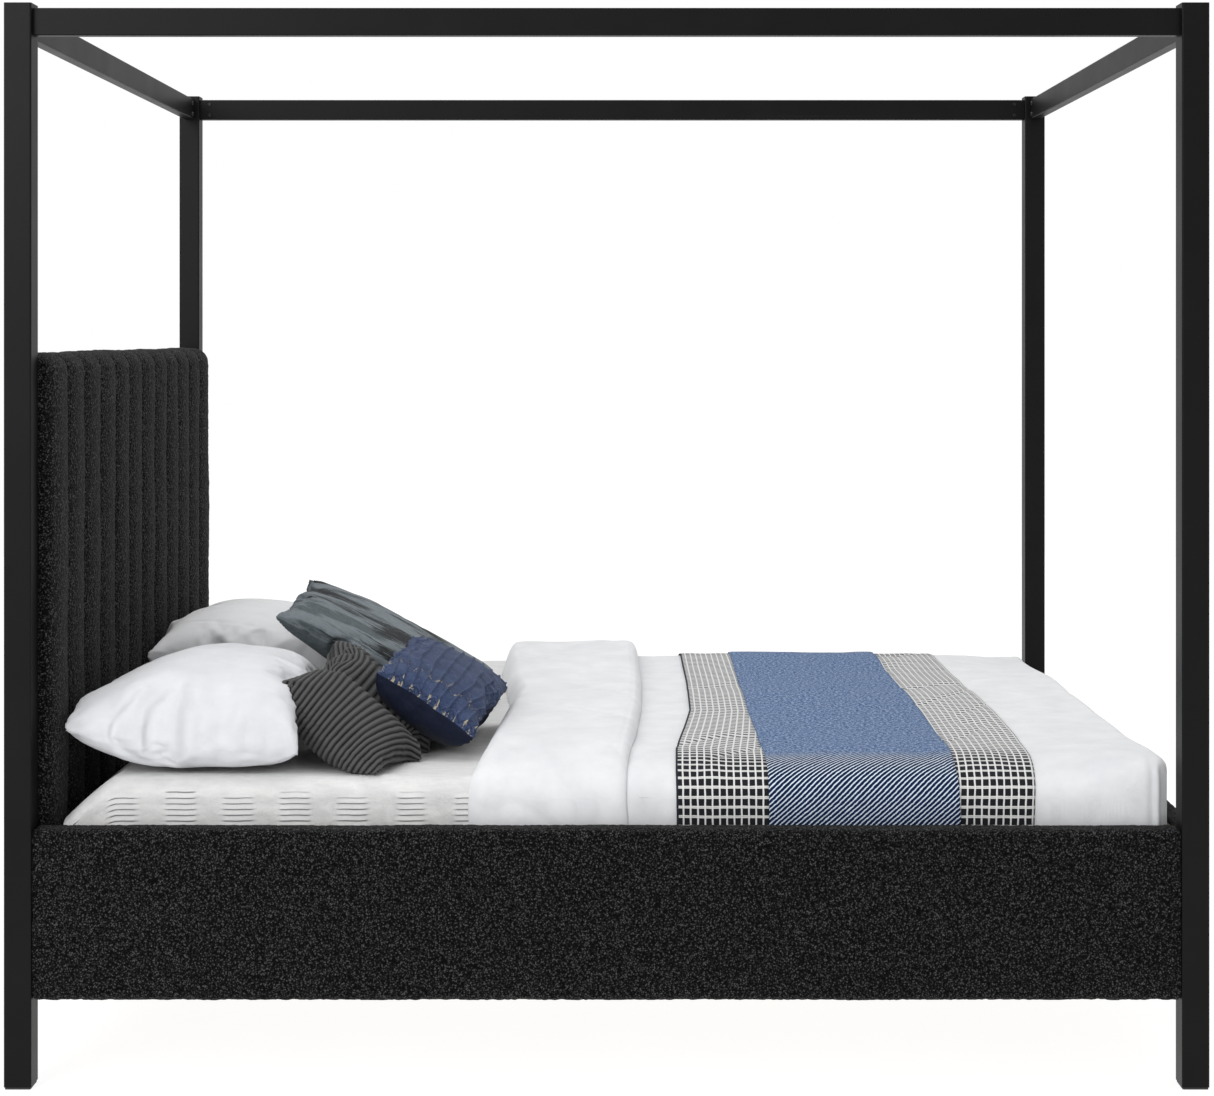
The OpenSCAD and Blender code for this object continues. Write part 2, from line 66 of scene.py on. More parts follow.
# ---------------- noise and mesh helpers
def hash3(i, j, k, seed):
    h = (i * 374761393 + j * 668265263 + k * 2147483647 + seed * 1274126177) & 0xFFFFFFFF
    h = ((h ^ (h >> 13)) * 1103515245) & 0xFFFFFFFF
    h = ((h ^ (h >> 16)) * 2654435761) & 0xFFFFFFFF
    return ((h ^ (h >> 15)) & 0xFFFFFF) / float(0xFFFFFF)


def vnoise(p, size, seed=0):
    """Smooth value noise in -1..1, with features of the given size."""
    q = np.asarray(p, float) / size
    base = np.floor(q).astype(np.int64)
    f = q - base
    f = f * f * f * (f * (f * 6 - 15) + 10)
    out = 0.0
    for dx in (0, 1):
        for dy in (0, 1):
            for dz in (0, 1):
                w = (f[:, 0] if dx else 1 - f[:, 0]) * (f[:, 1] if dy else 1 - f[:, 1])
                w = w * (f[:, 2] if dz else 1 - f[:, 2])
                out = out + w * hash3(base[:, 0] + dx, base[:, 1] + dy, base[:, 2] + dz, seed)
    return out * 2 - 1


def fbm(p, size, seed=0, octaves=3, gain=0.5):
    """Value noise summed over octaves, in -1..1."""
    total, amp, norm = 0.0, 1.0, 0.0
    for o in range(octaves):
        total = total + amp * vnoise(p, size / 2 ** o, seed + o * 17)
        norm += amp
        amp *= gain
    return total / norm


def ridge(p, size, seed=0, sharp=2.0):
    """Crease lines: 0 away from them, 1 on them."""
    return np.clip(1 - np.abs(vnoise(p, size, seed)) * sharp, 0, 1) ** 2


def smooth(t):
    t = np.clip(t, 0, 1)
    return t * t * (3 - 2 * t)


def turn_flat(p, c, s):
    """Points turned in the plan, with the turn's cosine and sine."""
    return p @ np.array([[c, s, 0], [-s, c, 0], [0, 0, 1]])


def y_sign(b):
    return np.where(b < 0, -1.0, 1.0)


def grid_faces(nu, nv, wrap_v=False):
    """Quads of a grid of points, closed round v if it wraps."""
    i = np.arange(nu - 1)
    j = np.arange(nv if wrap_v else nv - 1)
    i, j = [g.ravel() for g in np.meshgrid(i, j, indexing="ij")]
    j1 = (j + 1) % nv
    return np.c_[i * nv + j, (i + 1) * nv + j, (i + 1) * nv + j1, i * nv + j1]


def set_uv(me, uv):
    """Writes a UV place for each vertex."""
    corners = np.empty(len(me.loops), np.int32)
    me.loops.foreach_get("vertex_index", corners)
    layer = me.uv_layers.new(name="flat")
    layer.data.foreach_set("uv", np.asarray(uv, np.float32)[corners].ravel())


def new_mesh(name, verts, faces, mat=None, body=None, caps=(), uv=None, flat=False):
    me = bpy.data.meshes.new(name)
    faces = [tuple(int(a) for a in q) for q in faces] + list(caps)
    me.from_pydata([tuple(v) for v in np.asarray(verts, float)], [], faces)
    me.update()
    if uv is not None:
        set_uv(me, uv)
    if not flat:
        me.polygons.foreach_set("use_smooth", np.ones(len(me.polygons), bool))
    ob = bpy.data.objects.new(name, me)
    bpy.context.scene.collection.objects.link(ob)
    if mat:
        me.materials.append(mat)
    if body:
        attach(ob, body)
    return ob


def fix_normals(ob):
    bm = bmesh.new()
    bm.from_mesh(ob.data)
    bmesh.ops.recalc_face_normals(bm, faces=bm.faces)
    bm.to_mesh(ob.data)
    bm.free()


def closed_sweep(name, points, rings, around, mat, body):
    """A closed piece from rings of points, capped at both ends."""
    caps = [tuple(range(around))[::-1], tuple(range((rings - 1) * around, rings * around))]
    ob = new_mesh(name, points, grid_faces(rings, around, wrap_v=True), mat, body, caps)
    fix_normals(ob)
    return ob


def shell_normals(p, nu, nv, wrap_v=False):
    """Unit normals of a grid of points."""
    g = p.reshape(nu, nv, 3)
    du = np.gradient(g, axis=0)
    dv = (np.roll(g, -1, 1) - np.roll(g, 1, 1)) / 2 if wrap_v else np.gradient(g, axis=1)
    n = np.cross(du, dv)
    n /= np.linalg.norm(n, axis=2, keepdims=True) + 1e-12
    return n.reshape(-1, 3)


# ---------------- materials
def rgba(value):
    return (*value, 1) if isinstance(value, tuple) and len(value) == 3 else value


class Shader:
    """A Principled material built from a chain of nodes."""

    def __init__(self, name, rough=0.6, metal=0.0, sheen=0.0, spec=None):
        self.mat = bpy.data.materials.new(name)
        self.mat.use_nodes = True
        self.t = self.mat.node_tree
        self.bsdf = next(n for n in self.t.nodes if n.type == "BSDF_PRINCIPLED")
        self.put("Roughness", rough)
        self.put("Metallic", metal)
        if sheen:
            self.put("Sheen Weight", sheen)
            self.put("Sheen Roughness", 0.45)
        if spec is not None:
            self.put("Specular IOR Level", spec)
        self.coord = self.node("ShaderNodeTexCoord")
        self.height = None

    def feed(self, sock, value):
        """Links a node's output to an input, or sets the input's value."""
        if isinstance(value, bpy.types.NodeSocket):
            self.t.links.new(value, sock)
        else:
            sock.default_value = rgba(value) if sock.type == "RGBA" else value

    def node(self, kind, **values):
        """A node with its inputs fed by name, or by place as in0, in1; the rest are its settings."""
        n = self.t.nodes.new(kind)
        inputs = [s.name for s in n.inputs]
        for key, value in values.items():
            if key.replace("_", " ") in inputs:
                self.feed(n.inputs[key.replace("_", " ")], value)
            elif key.startswith("in") and key[2:].isdigit():
                self.feed(n.inputs[int(key[2:])], value)
            else:
                setattr(n, key, value)
        return n

    def put(self, key, value):
        self.feed(self.bsdf.inputs[key], value)

    def place(self, scale=(1, 1, 1), rot=(0, 0, 0), uv=False):
        """Object or UV coordinates, scaled and turned."""
        source = self.coord.outputs["UV" if uv else "Object"]
        return self.node("ShaderNodeMapping", Vector=source, Scale=scale, Rotation=rot).outputs[0]

    def split(self, vec):
        """A vector's X, Y and Z."""
        return self.node("ShaderNodeSeparateXYZ", in0=vec).outputs

    def noise(self, scale, detail=3, rough=0.5, vec=None, dist=0.0):
        n = self.node("ShaderNodeTexNoise", Vector=vec or self.coord.outputs["Object"], Scale=scale,
                      Detail=detail, Roughness=rough, Distortion=dist)
        return n.outputs[0]

    def voronoi(self, scale, vec=None, random=1.0):
        n = self.node("ShaderNodeTexVoronoi", Vector=vec or self.coord.outputs["Object"], Scale=scale,
                      Randomness=random, feature="F1")
        return n.outputs["Distance"]

    def wave(self, scale, vec=None, axis="X", dist=0.0):
        n = self.node("ShaderNodeTexWave", Vector=vec or self.coord.outputs["Object"], Scale=scale,
                      Distortion=dist, Detail_Scale=1.0, bands_direction=axis)
        return n.outputs["Fac"]

    def ramp(self, fac, *stops):
        n = self.node("ShaderNodeValToRGB", Fac=fac)
        elements = n.color_ramp.elements
        while len(elements) < len(stops):
            elements.new(0.5)
        for element, (position, color) in zip(elements, stops):
            element.position = position
            element.color = rgba(color)
        return n.outputs["Color"]

    def math(self, op, a, b=0.0, clamp=False):
        return self.node("ShaderNodeMath", in0=a, in1=b, operation=op, use_clamp=clamp).outputs[0]

    def add(self, a, b):
        return self.math("ADD", a, b)

    def sub(self, a, b, clamp=False):
        return self.math("SUBTRACT", a, b, clamp)

    def mul(self, a, b):
        return self.math("MULTIPLY", a, b)

    def above(self, a, b):
        return self.math("GREATER_THAN", a, b)

    def below(self, a, b):
        return self.math("LESS_THAN", a, b)

    def size(self, a):
        return self.math("ABSOLUTE", a)

    def repeat(self, value, pitch, shift):
        """Place within a repeat, 0 to 1; the shift keeps it positive."""
        return self.math("FRACT", self.add(self.math("DIVIDE", value, pitch), shift))

    def off_middle(self, cell):
        """Distance from the middle of a repeat."""
        return self.size(self.sub(cell, 0.5))

    def fade(self, value, zero, one):
        """0 at the first value and 1 at the second."""
        n = self.node("ShaderNodeMapRange", Value=value)
        n.inputs["From Min"].default_value = zero
        n.inputs["From Max"].default_value = one
        return n.outputs[0]

    def mix(self, fac, a, b):
        n = self.t.nodes.new("ShaderNodeMix")
        n.data_type = "RGBA"
        for sock, value in ((n.inputs["Factor"], fac), (n.inputs[6], a), (n.inputs[7], b)):
            self.feed(sock, value)
        return n.outputs[2]

    def bump(self, height, dist=0.001, strength=1.0):
        """Adds a bump on top of the ones before it."""
        n = self.node("ShaderNodeBump", Height=height, Distance=dist, Strength=strength)
        if self.height is not None:
            self.t.links.new(self.height, n.inputs["Normal"])
        self.height = n.outputs[0]
        self.put("Normal", self.height)

    def weave(self, scale, dist, strength=0.5):
        """Fine crossed threads as a bump."""
        vec = self.place()
        a, b, c = [self.wave(scale, vec, axis, 0.6) for axis in "XYZ"]
        self.bump(self.add(self.math("MAXIMUM", a, b), self.mul(c, 0.5)), dist, strength)

    def front_panel(self):
        """1 on a cushion's front panel, 0 on its back."""
        flat = self.node("ShaderNodeAttribute", attribute_name="flat_place")
        return self.above(self.split(flat.outputs["Vector"])[2], 0.0)


def grey(v):
    return (v, v, v)


def painted_metal():
    s = Shader("black_powder_coat", rough=0.42, spec=0.13)
    speck = s.noise(900, 2)
    cloud = s.noise(9, 4)
    base = s.ramp(cloud, (0.3, (0.0022, 0.0022, 0.0024)), (0.75, (0.0040, 0.0040, 0.0043)))
    s.put("Base Color", s.mix(s.mul(speck, 0.25), base, (0.012, 0.012, 0.013)))
    s.put("Roughness", s.add(s.mul(cloud, 0.12), 0.36))
    s.bump(speck, 0.0002, 0.35)
    return s.mat


def boucle():
    s = Shader("black_boucle", rough=0.95, sheen=0.06, spec=0.08)
    loops = s.voronoi(280)
    # painted highlight and shade: loop tops painted lighter and the gaps between loops painted near black,
    # over the loops' bump
    loop_light_and_shade = s.mul(s.sub(1.0, loops, True), s.noise(160, 3, 0.6))
    s.put("Base Color", s.ramp(loop_light_and_shade, (0.17, (0.0008, 0.0008, 0.0009)), (0.30, (0.0112, 0.0112, 0.0115)),
                               (0.50, (0.088, 0.088, 0.089))))
    s.bump(loops, 0.0030, 1.0)
    s.bump(s.noise(150, 3), 0.0030, 0.9)
    return s.mat


def zinc():
    s = Shader("zinc_plate", rough=0.38, metal=1.0)
    spangle = s.voronoi(70)
    s.put("Base Color", s.ramp(spangle, (0.1, (0.45, 0.46, 0.48)), (0.7, (0.62, 0.63, 0.65))))
    s.put("Roughness", s.add(s.mul(s.noise(160), 0.22), 0.28))
    s.bump(s.noise(500), 0.0001, 0.5)
    return s.mat


def screw_metal():
    s = Shader("black_oxide", rough=0.4, metal=0.6)
    s.put("Base Color", s.ramp(s.noise(300), (0.3, grey(0.012)), (0.8, grey(0.035))))
    s.bump(s.noise(800), 0.0001, 0.4)
    return s.mat


def plastic():
    s = Shader("black_moulded_plastic", rough=0.55)
    s.put("Base Color", s.ramp(s.noise(120), (0.3, grey(0.014)), (0.8, grey(0.024))))
    s.bump(s.noise(1400, 2), 0.00015, 0.6)
    return s.mat


def wood(name, light, dark, grain_scale, ply=False):
    s = Shader(name, rough=0.62)
    vec = s.place(grain_scale)
    grain = s.noise(14, 6, 0.62, vec, 0.8)
    rings = s.wave(2.2, vec, "Y", 6.0)
    fac = s.add(s.mul(grain, 0.65), s.mul(rings, 0.35))
    col = s.ramp(fac, (0.25, dark), (0.72, light))
    if ply:
        layers = s.wave(52, s.place(), "Z", 0.4)
        col = s.mix(s.mul(layers, 0.16), col, dark)
    s.put("Base Color", col)
    s.put("Roughness", s.add(s.mul(grain, 0.25), 0.48))
    s.bump(fac, 0.0006, 0.5)
    return s.mat


def lining():
    s = Shader("black_lining_cloth", rough=0.9, sheen=0.02, spec=0.1)
    a = s.wave(420, axis="Y")
    b = s.wave(420, axis="Z")
    s.put("Base Color", s.ramp(s.mul(a, b), (0.1, grey(0.006)), (0.8, grey(0.018))))
    s.bump(s.add(a, b), 0.0003, 0.6)
    return s.mat


def webbing():
    s = Shader("charcoal_webbing", rough=0.85, sheen=0.1)
    a = s.wave(160, axis="X")
    b = s.wave(220, axis="Y")
    s.put("Base Color", s.ramp(s.mul(a, b), (0.1, grey(0.02)), (0.8, grey(0.07))))
    s.bump(s.math("MAXIMUM", a, b), 0.0008, 0.8)
    return s.mat


def ticking():
    s = Shader("mattress_ticking", rough=0.8, sheen=0.2)
    s.put("Base Color", s.ramp(s.noise(35, 4), (0.3, (0.70, 0.69, 0.66)), (0.8, (0.80, 0.79, 0.77))))
    diamond = s.place(rot=(0, 0, math.radians(45)))
    quilt = s.math("MINIMUM", s.wave(4.5, diamond, "X"), s.wave(4.5, diamond, "Y"))
    s.bump(s.math("POWER", quilt, 0.35), 0.004, 0.7)
    s.weave(420, 0.0004)
    return s.mat


def foam():
    s = Shader("comfort_foam", rough=0.95)
    s.put("Base Color", s.ramp(s.voronoi(300), (0.1, (0.52, 0.45, 0.27)), (0.6, (0.76, 0.70, 0.50))))
    s.bump(s.voronoi(450), 0.0012, 0.8)
    return s.mat


def coils():
    s = Shader("pocketed_coils", rough=0.7, sheen=0.1)
    pockets = s.voronoi(17, s.place(), random=0.05)
    s.put("Base Color", s.ramp(pockets, (0.2, (0.72, 0.72, 0.73)), (0.6, (0.34, 0.35, 0.36))))
    s.bump(pockets, 0.01, 0.6)
    return s.mat


def sheeting():
    """Cotton with a painted shadow line under each tuck, where the mesh's tuck_rows say."""
    s = Shader("grey_pintuck_sheeting", rough=0.85, sheen=0.10)
    slub = s.noise(60, 5, 0.6, s.place((0.35, 1, 1)))
    thread = s.ramp(slub, (0.3, (0.64, 0.64, 0.64)), (0.7, (0.76, 0.76, 0.755)))
    tucks = s.split(s.node("ShaderNodeAttribute", attribute_name="tuck_rows").outputs["Vector"])
    # painted shadow: the cloth is darkened towards grey at the step of each tuck, inside the tuck columns
    line = s.ramp(s.math("FRACT", tucks[0]), (0.0, grey(0.8)), (0.10, grey(0.0)), (0.80, grey(0.0)),
                  (0.90, grey(1.0)))
    s.put("Base Color", s.mix(s.mul(line, tucks[1]), thread, (0.20, 0.20, 0.20)))
    s.bump(s.noise(300, 2, 0.5, s.place((1, 0.6, 0.6))), 0.0014, 0.7)
    s.weave(480, 0.0004, 0.55)
    return s.mat


def cotton(name, light, dark):
    s = Shader(name, rough=0.8, sheen=0.3)
    s.put("Base Color", s.ramp(s.noise(14, 5, 0.6), (0.3, dark), (0.7, light)))
    s.weave(560, 0.0003)
    s.bump(s.noise(55, 4, 0.6), 0.0016, 0.25)
    return s.mat


def check_cloth():
    """Woven windowpane check: light lines over dark cells; on the bed's top the dark cells are painted a
    lighter grey, painted light for the glancing view of the top.
    """
    s = Shader("windowpane_check", rough=0.9, sheen=0.05, spec=0.15)
    uv = s.place(uv=True)
    wobble = s.node("ShaderNodeTexNoise", Vector=s.coord.outputs["UV"], Scale=60.0, Detail=2)
    small = s.node("ShaderNodeVectorMath", in0=wobble.outputs["Color"], operation="SCALE")
    small.inputs["Scale"].default_value = 0.0016
    moved = s.node("ShaderNodeVectorMath", in0=uv, in1=small.outputs[0])
    place = s.split(moved.outputs[0])

    def band(value, pitch, width, shift=0.0):
        edge = 0.5 - width / pitch / 2
        return s.fade(s.off_middle(s.repeat(value, pitch, 10.0 + shift)), edge - 0.02, edge + 0.02)

    pitch = 0.0176
    along = band(place[0], 0.0130, 0.0031)
    across = s.math("MAXIMUM", band(place[1], pitch, 0.0024, 0.075), band(place[1], pitch, 0.0024, -0.075))
    lines = s.math("MAXIMUM", along, across)
    thread = s.noise(900, 3, vec=uv)
    on_top = s.fade(s.size(place[1]), 0.70, 0.60)
    dark = s.ramp(thread, (0.3, (0.004, 0.0045, 0.006)), (0.75, (0.022, 0.024, 0.030)))
    # painted light: the dark cells take this lighter grey on the bed's top
    painted_light_cells = s.ramp(thread, (0.3, (0.40, 0.40, 0.41)), (0.75, (0.64, 0.64, 0.65)))
    light = s.ramp(thread, (0.3, (0.62, 0.62, 0.61)), (0.75, (0.88, 0.88, 0.87)))
    cell = s.mix(s.mul(on_top, band(place[1], pitch, 0.0118)), dark, painted_light_cells)
    hem = s.below(place[0], 0.0045)
    s.put("Base Color", s.mix(hem, s.mix(lines, cell, light), (0.020, 0.022, 0.032)))
    s.bump(lines, 0.0014, 0.8)
    s.bump(s.wave(700, uv, "DIAGONAL", 0.5), 0.0003, 0.6)
    return s.mat


def blue_cloth():
    """Diagonal weave down the sides, mottled like denim on the bed's top."""
    s = Shader("blue_diagonal_weave", rough=0.9, sheen=0.05, spec=0.15)
    uv = s.place(uv=True)
    place = s.split(uv)
    jitter = s.mul(s.noise(160, 2, vec=uv), 0.35)
    run = s.add(s.mul(place[0], 95.0), s.mul(s.size(place[1]), 114.0))
    rib = s.mul(s.off_middle(s.math("FRACT", s.add(s.add(run, jitter), 50.0))), 2.0)
    mottle = s.noise(150, 5, 0.8, uv)
    stripe = s.ramp(rib, (0.42, (0.0030, 0.008, 0.036)), (0.56, (0.018, 0.050, 0.15)),
                    (0.69, (0.17, 0.26, 0.40)), (0.83, (0.68, 0.73, 0.77)))
    denim = s.ramp(mottle, (0.42, (0.014, 0.040, 0.125)), (0.50, (0.074, 0.140, 0.285)),
                   (0.58, (0.29, 0.38, 0.52)))
    on_top = s.fade(s.size(place[1]), 0.70, 0.655)
    s.put("Base Color", s.mix(s.mul(on_top, 0.93), stripe, denim))
    s.bump(rib, 0.0014, 0.8)
    s.bump(mottle, 0.0005, 0.5)
    return s.mat


def corduroy():
    s = Shader("charcoal_corduroy", rough=0.92, sheen=0.08, spec=0.15)
    uv = s.place(uv=True)
    rib = s.sub(1.0, s.mul(s.off_middle(s.repeat(s.split(uv)[0], RIB, 20.5)), 2.0))
    pile = s.noise(380, 4, 0.6, s.place((1, 0.5, 1), uv=True))
    # painted highlight on the rib tops and painted shade in the grooves between ribs, with the pile's own
    # tone varying at random
    rib_shade_and_pile = s.add(s.mul(rib, 0.8), s.mul(pile, 0.3))
    s.put("Base Color", s.ramp(rib_shade_and_pile, (0.18, (0.0035, 0.0035, 0.0036)), (0.36, (0.031, 0.031, 0.0315)),
                               (0.80, (0.086, 0.086, 0.087))))
    s.bump(pile, 0.0012, 0.7)
    s.bump(s.wave(190, uv, "Y", 2.5), 0.0008, 0.4)
    return s.mat


def print_velvet():
    """Short pile with dark brushed strokes and pale blocks on the front panel."""
    s = Shader("brushed_print_velvet", rough=0.85, sheen=0.06, spec=0.2)
    uv = s.place(uv=True)
    patch = s.noise(6.5, 3, 0.5, s.place((0.75, 2.1, 1), (0, 0, 0.10), True), 0.25)
    stroke = s.noise(24.0, 6, 0.78, s.place((0.42, 4.6, 1), (0, 0, 0.06), True), 0.2)
    scratch = s.noise(70.0, 4, 0.8, s.place((0.30, 5.5, 1), (0, 0, 0.02), True), 0.1)
    block = s.voronoi(9.0, s.place((0.8, 2.4, 1), uv=True))
    strokes = s.add(s.mul(stroke, 0.38), s.mul(scratch, 0.24))
    brushed = s.ramp(s.add(s.mul(patch, 0.58), strokes), (0.595, grey(0.0)), (0.635, grey(1.0)))
    lifted = s.ramp(s.add(block, s.mul(stroke, 0.5)), (0.60, grey(0.0)), (0.68, grey(1.0)))
    pile = s.noise(90, 4, 0.6, uv)
    base = s.ramp(pile, (0.3, (0.058, 0.074, 0.080)), (0.75, (0.098, 0.118, 0.126)))
    pale = s.ramp(pile, (0.3, (0.130, 0.155, 0.170)), (0.8, (0.185, 0.210, 0.225)))
    dark = s.ramp(pile, (0.3, (0.0075, 0.0085, 0.010)), (0.8, (0.018, 0.020, 0.023)))
    front = s.front_panel()
    printed = s.mix(s.mul(lifted, front), base, pale)
    s.put("Base Color", s.mix(s.mul(brushed, front), printed, dark))
    s.bump(s.noise(700, 3, vec=uv), 0.0004, 0.6)
    s.weave(500, 0.0002, 0.4)
    return s.mat


def pintuck_blue():
    """Navy cotton with chevron stitching between the tucks and metallic flecks along one edge."""
    s = Shader("blue_pintuck_cotton", rough=0.8, sheen=0.05, spec=0.2)
    uv = s.place(uv=True)
    place = s.split(uv)
    front = s.front_panel()
    row = s.add(s.math("DIVIDE", place[0], TUCK), 20.5)
    cell = s.math("FRACT", row)
    odd = s.above(s.math("FRACT", s.mul(s.math("FLOOR", row), 0.5)), 0.25)
    lean = s.mul(s.sub(s.mul(odd, 2.0), 1.0), 0.026)
    run = s.add(place[1], s.mul(s.sub(cell, 0.5), lean))
    group = s.repeat(run, 0.075, 40.0)
    line = s.mul(s.below(s.repeat(run, 0.0125, 40.0), 0.22), s.below(group, 0.36))
    cloth = s.noise(240, 4, 0.6, uv)
    worn = s.noise(34, 4, 0.6, uv)
    navy = s.ramp(s.add(s.mul(cloth, 0.5), s.mul(worn, 0.5)),
                  (0.34, (0.015, 0.028, 0.076)), (0.66, (0.055, 0.080, 0.155)))
    plain = s.ramp(cloth, (0.3, (0.0034, 0.0062, 0.018)), (0.8, (0.0068, 0.0110, 0.031)))
    stitched = s.mix(s.mul(line, 0.75), navy, (0.008, 0.014, 0.045))
    near_edge = s.fade(place[1], -0.10, -0.19)
    fleck = s.above(s.noise(120, 4, 0.8, s.place((1, 0.4, 1), (0, 0, 0.5), True)), 0.56)
    tooth = s.below(s.add(s.off_middle(cell), s.mul(group, 0.9)), 0.42)
    gold = s.mul(s.mul(fleck, tooth), near_edge)
    glint = s.mul(s.above(s.noise(150, 3, 0.7, uv), 0.68), 0.5)
    worked = s.mix(s.math("MAXIMUM", gold, glint), stitched, (0.40, 0.35, 0.26))
    s.put("Base Color", s.mix(front, plain, worked))
    s.bump(s.mul(line, front), 0.0012, 0.7)
    s.bump(s.noise(120, 4, 0.6, uv), 0.0006, 0.5)
    return s.mat


RIB, TUCK = 0.0128, 0.0262                             # pitch of the corduroy's ribs and of the blue tucks
BOUCLE, TICKING, SHEET = boucle(), ticking(), sheeting()
WHITE = cotton("white_washed_cotton", (0.76, 0.77, 0.785), (0.665, 0.675, 0.695))
PILLOW = cotton("pillow_percale", (0.725, 0.735, 0.76), (0.65, 0.66, 0.685))
# a lighter copy of the same pillow cloth: painted light for the far pillow, against the shade that falls on
# it
PILLOW_PAINTED_LIGHTER = cotton("pillow_percale_light", (0.86, 0.865, 0.88), (0.79, 0.795, 0.81))
slot_materials = {
    "black_steel": painted_metal(), "zinc_steel": zinc(), "black_screw": screw_metal(),
    "black_plastic": plastic(), "boucle": BOUCLE, "lining": lining(), "webbing": webbing(),
    "foam": foam(), "spring_core": coils(),
    "slat_wood": wood("slat_birch", (0.62, 0.47, 0.30), (0.42, 0.29, 0.16), (9, 0.7, 9)),
    "pine": wood("planed_pine", (0.60, 0.43, 0.24), (0.38, 0.24, 0.11), (0.7, 9, 9)),
    "plywood": wood("plywood", (0.55, 0.40, 0.24), (0.34, 0.22, 0.11), (1.2, 1.2, 6), ply=True),
}
slot_of = {part["node"]: part["material_slot"] for part in frame["record"]["subparts"]}
for name, ob in frame["nodes"].items():
    ob.data.materials.clear()
    ob.data.materials.append(slot_materials.get(slot_of[name], TICKING))


# ---------------- boucle upholstery
def nubs(p, n, amount=0.0013):
    """Pushes points out in small round loops."""
    a = vnoise(p, 0.0062, 5) + 0.7 * vnoise(p, 0.0105, 9)
    return p + n * (np.clip(a, -0.9, 1.2) * amount)[:, None]


def section_sweep(ring, stations, place, bulge, end_round):
    """Sweeps a closed section along its stations, rounding the two ends. Gives points and normals."""
    inward = ring.mean(0) - ring
    inward /= np.linalg.norm(inward, axis=1, keepdims=True)
    pts = []
    for s in stations:
        d = min(s - stations[0], stations[-1] - s)
        k = 0.0 if d >= end_round else end_round * (1 - math.sqrt(max(0.0, 1 - (1 - d / end_round) ** 2)))
        pts.append(ring + inward * k)
    flat = np.c_[np.repeat(stations, len(ring)), np.array(pts).reshape(-1, 2)]
    world = place(bulge(flat))
    return world, shell_normals(world, len(stations), len(ring), wrap_v=True)


def rail_ring():
    """Section of the rail cover: depth behind the outer face, height above the rail's underside."""
    t, h, r, lip, board = 0.043, RAIL_H, 0.014, 0.012, 0.024
    pts = [(t, h)]
    pts += [(x, h) for x in np.arange(t - 0.004, r, -0.004)]
    pts += [(r - r * math.sin(a), h - r + r * math.cos(a)) for a in np.linspace(0, math.pi / 2, 7)]
    pts += [(0, z) for z in np.arange(h - r - 0.004, r, -0.004)]
    pts += [(r - r * math.cos(a), r - r * math.sin(a)) for a in np.linspace(0, math.pi / 2, 7)]
    pts += [(x, 0) for x in np.arange(r + 0.004, t, 0.004)] + [(t, 0)]
    pts += [(t, lip), (t - board, lip)]
    pts += [(t - board, z) for z in np.linspace(lip + 0.05, h - lip - 0.05, 4)]
    pts += [(t - board, h - lip), (t, h - lip)]
    return np.array(pts)


def rail_cover(name, length, place, replaced):
    """Boucle cover round a rail's board, its face a little fuller in the middle."""
    ring = rail_ring()
    hidden = 8                                 # the ring's last points lie against the board
    stations = np.arange(-length / 2, length / 2 + 0.0001, 0.004)
    stations[-1] = length / 2
    start, end = stations[0], stations[-1]
    stations = np.r_[start, start + 0.0015, stations[1:-1], end - 0.0015, end]

    def bulge(f):
        out = f.copy()
        face = f[:, 1] < 0.0145
        wob = vnoise(np.c_[f[:, 0], f[:, 2], f[:, 0] * 0], 0.16, 3) * 0.0012
        out[face, 1] += wob[face] + 0.001 * (np.abs(f[face, 2] / RAIL_H - 0.5) * 2) ** 2
        top = f[:, 2] > RAIL_H - 0.002
        out[top, 2] += wob[top] * 0.8 - 0.0008
        return out

    world, n = section_sweep(ring, stations, place, bulge, 0.007)
    shown = np.tile(np.arange(len(ring)) < len(ring) - hidden, len(stations))
    world = np.where(shown[:, None], nubs(world, n), world)
    ob = closed_sweep(name, world, len(stations), len(ring), BOUCLE, "bedstead")
    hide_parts(replaced)


rail_cover("side_rail_near_cover", 2 * FACE_X,
           lambda f: np.c_[f[:, 0], -OUT_Y + f[:, 1], RAIL_Z[0] + f[:, 2]], "side_rail_near_padding")
rail_cover("side_rail_far_cover", 2 * FACE_X,
           lambda f: np.c_[f[:, 0], OUT_Y - f[:, 1], RAIL_Z[0] + f[:, 2]], "side_rail_far_padding")
rail_cover("footboard_cover", 2 * FACE_Y,
           lambda f: np.c_[OUT_X - f[:, 1], f[:, 0], RAIL_Z[0] + f[:, 2]], "footboard_padding")


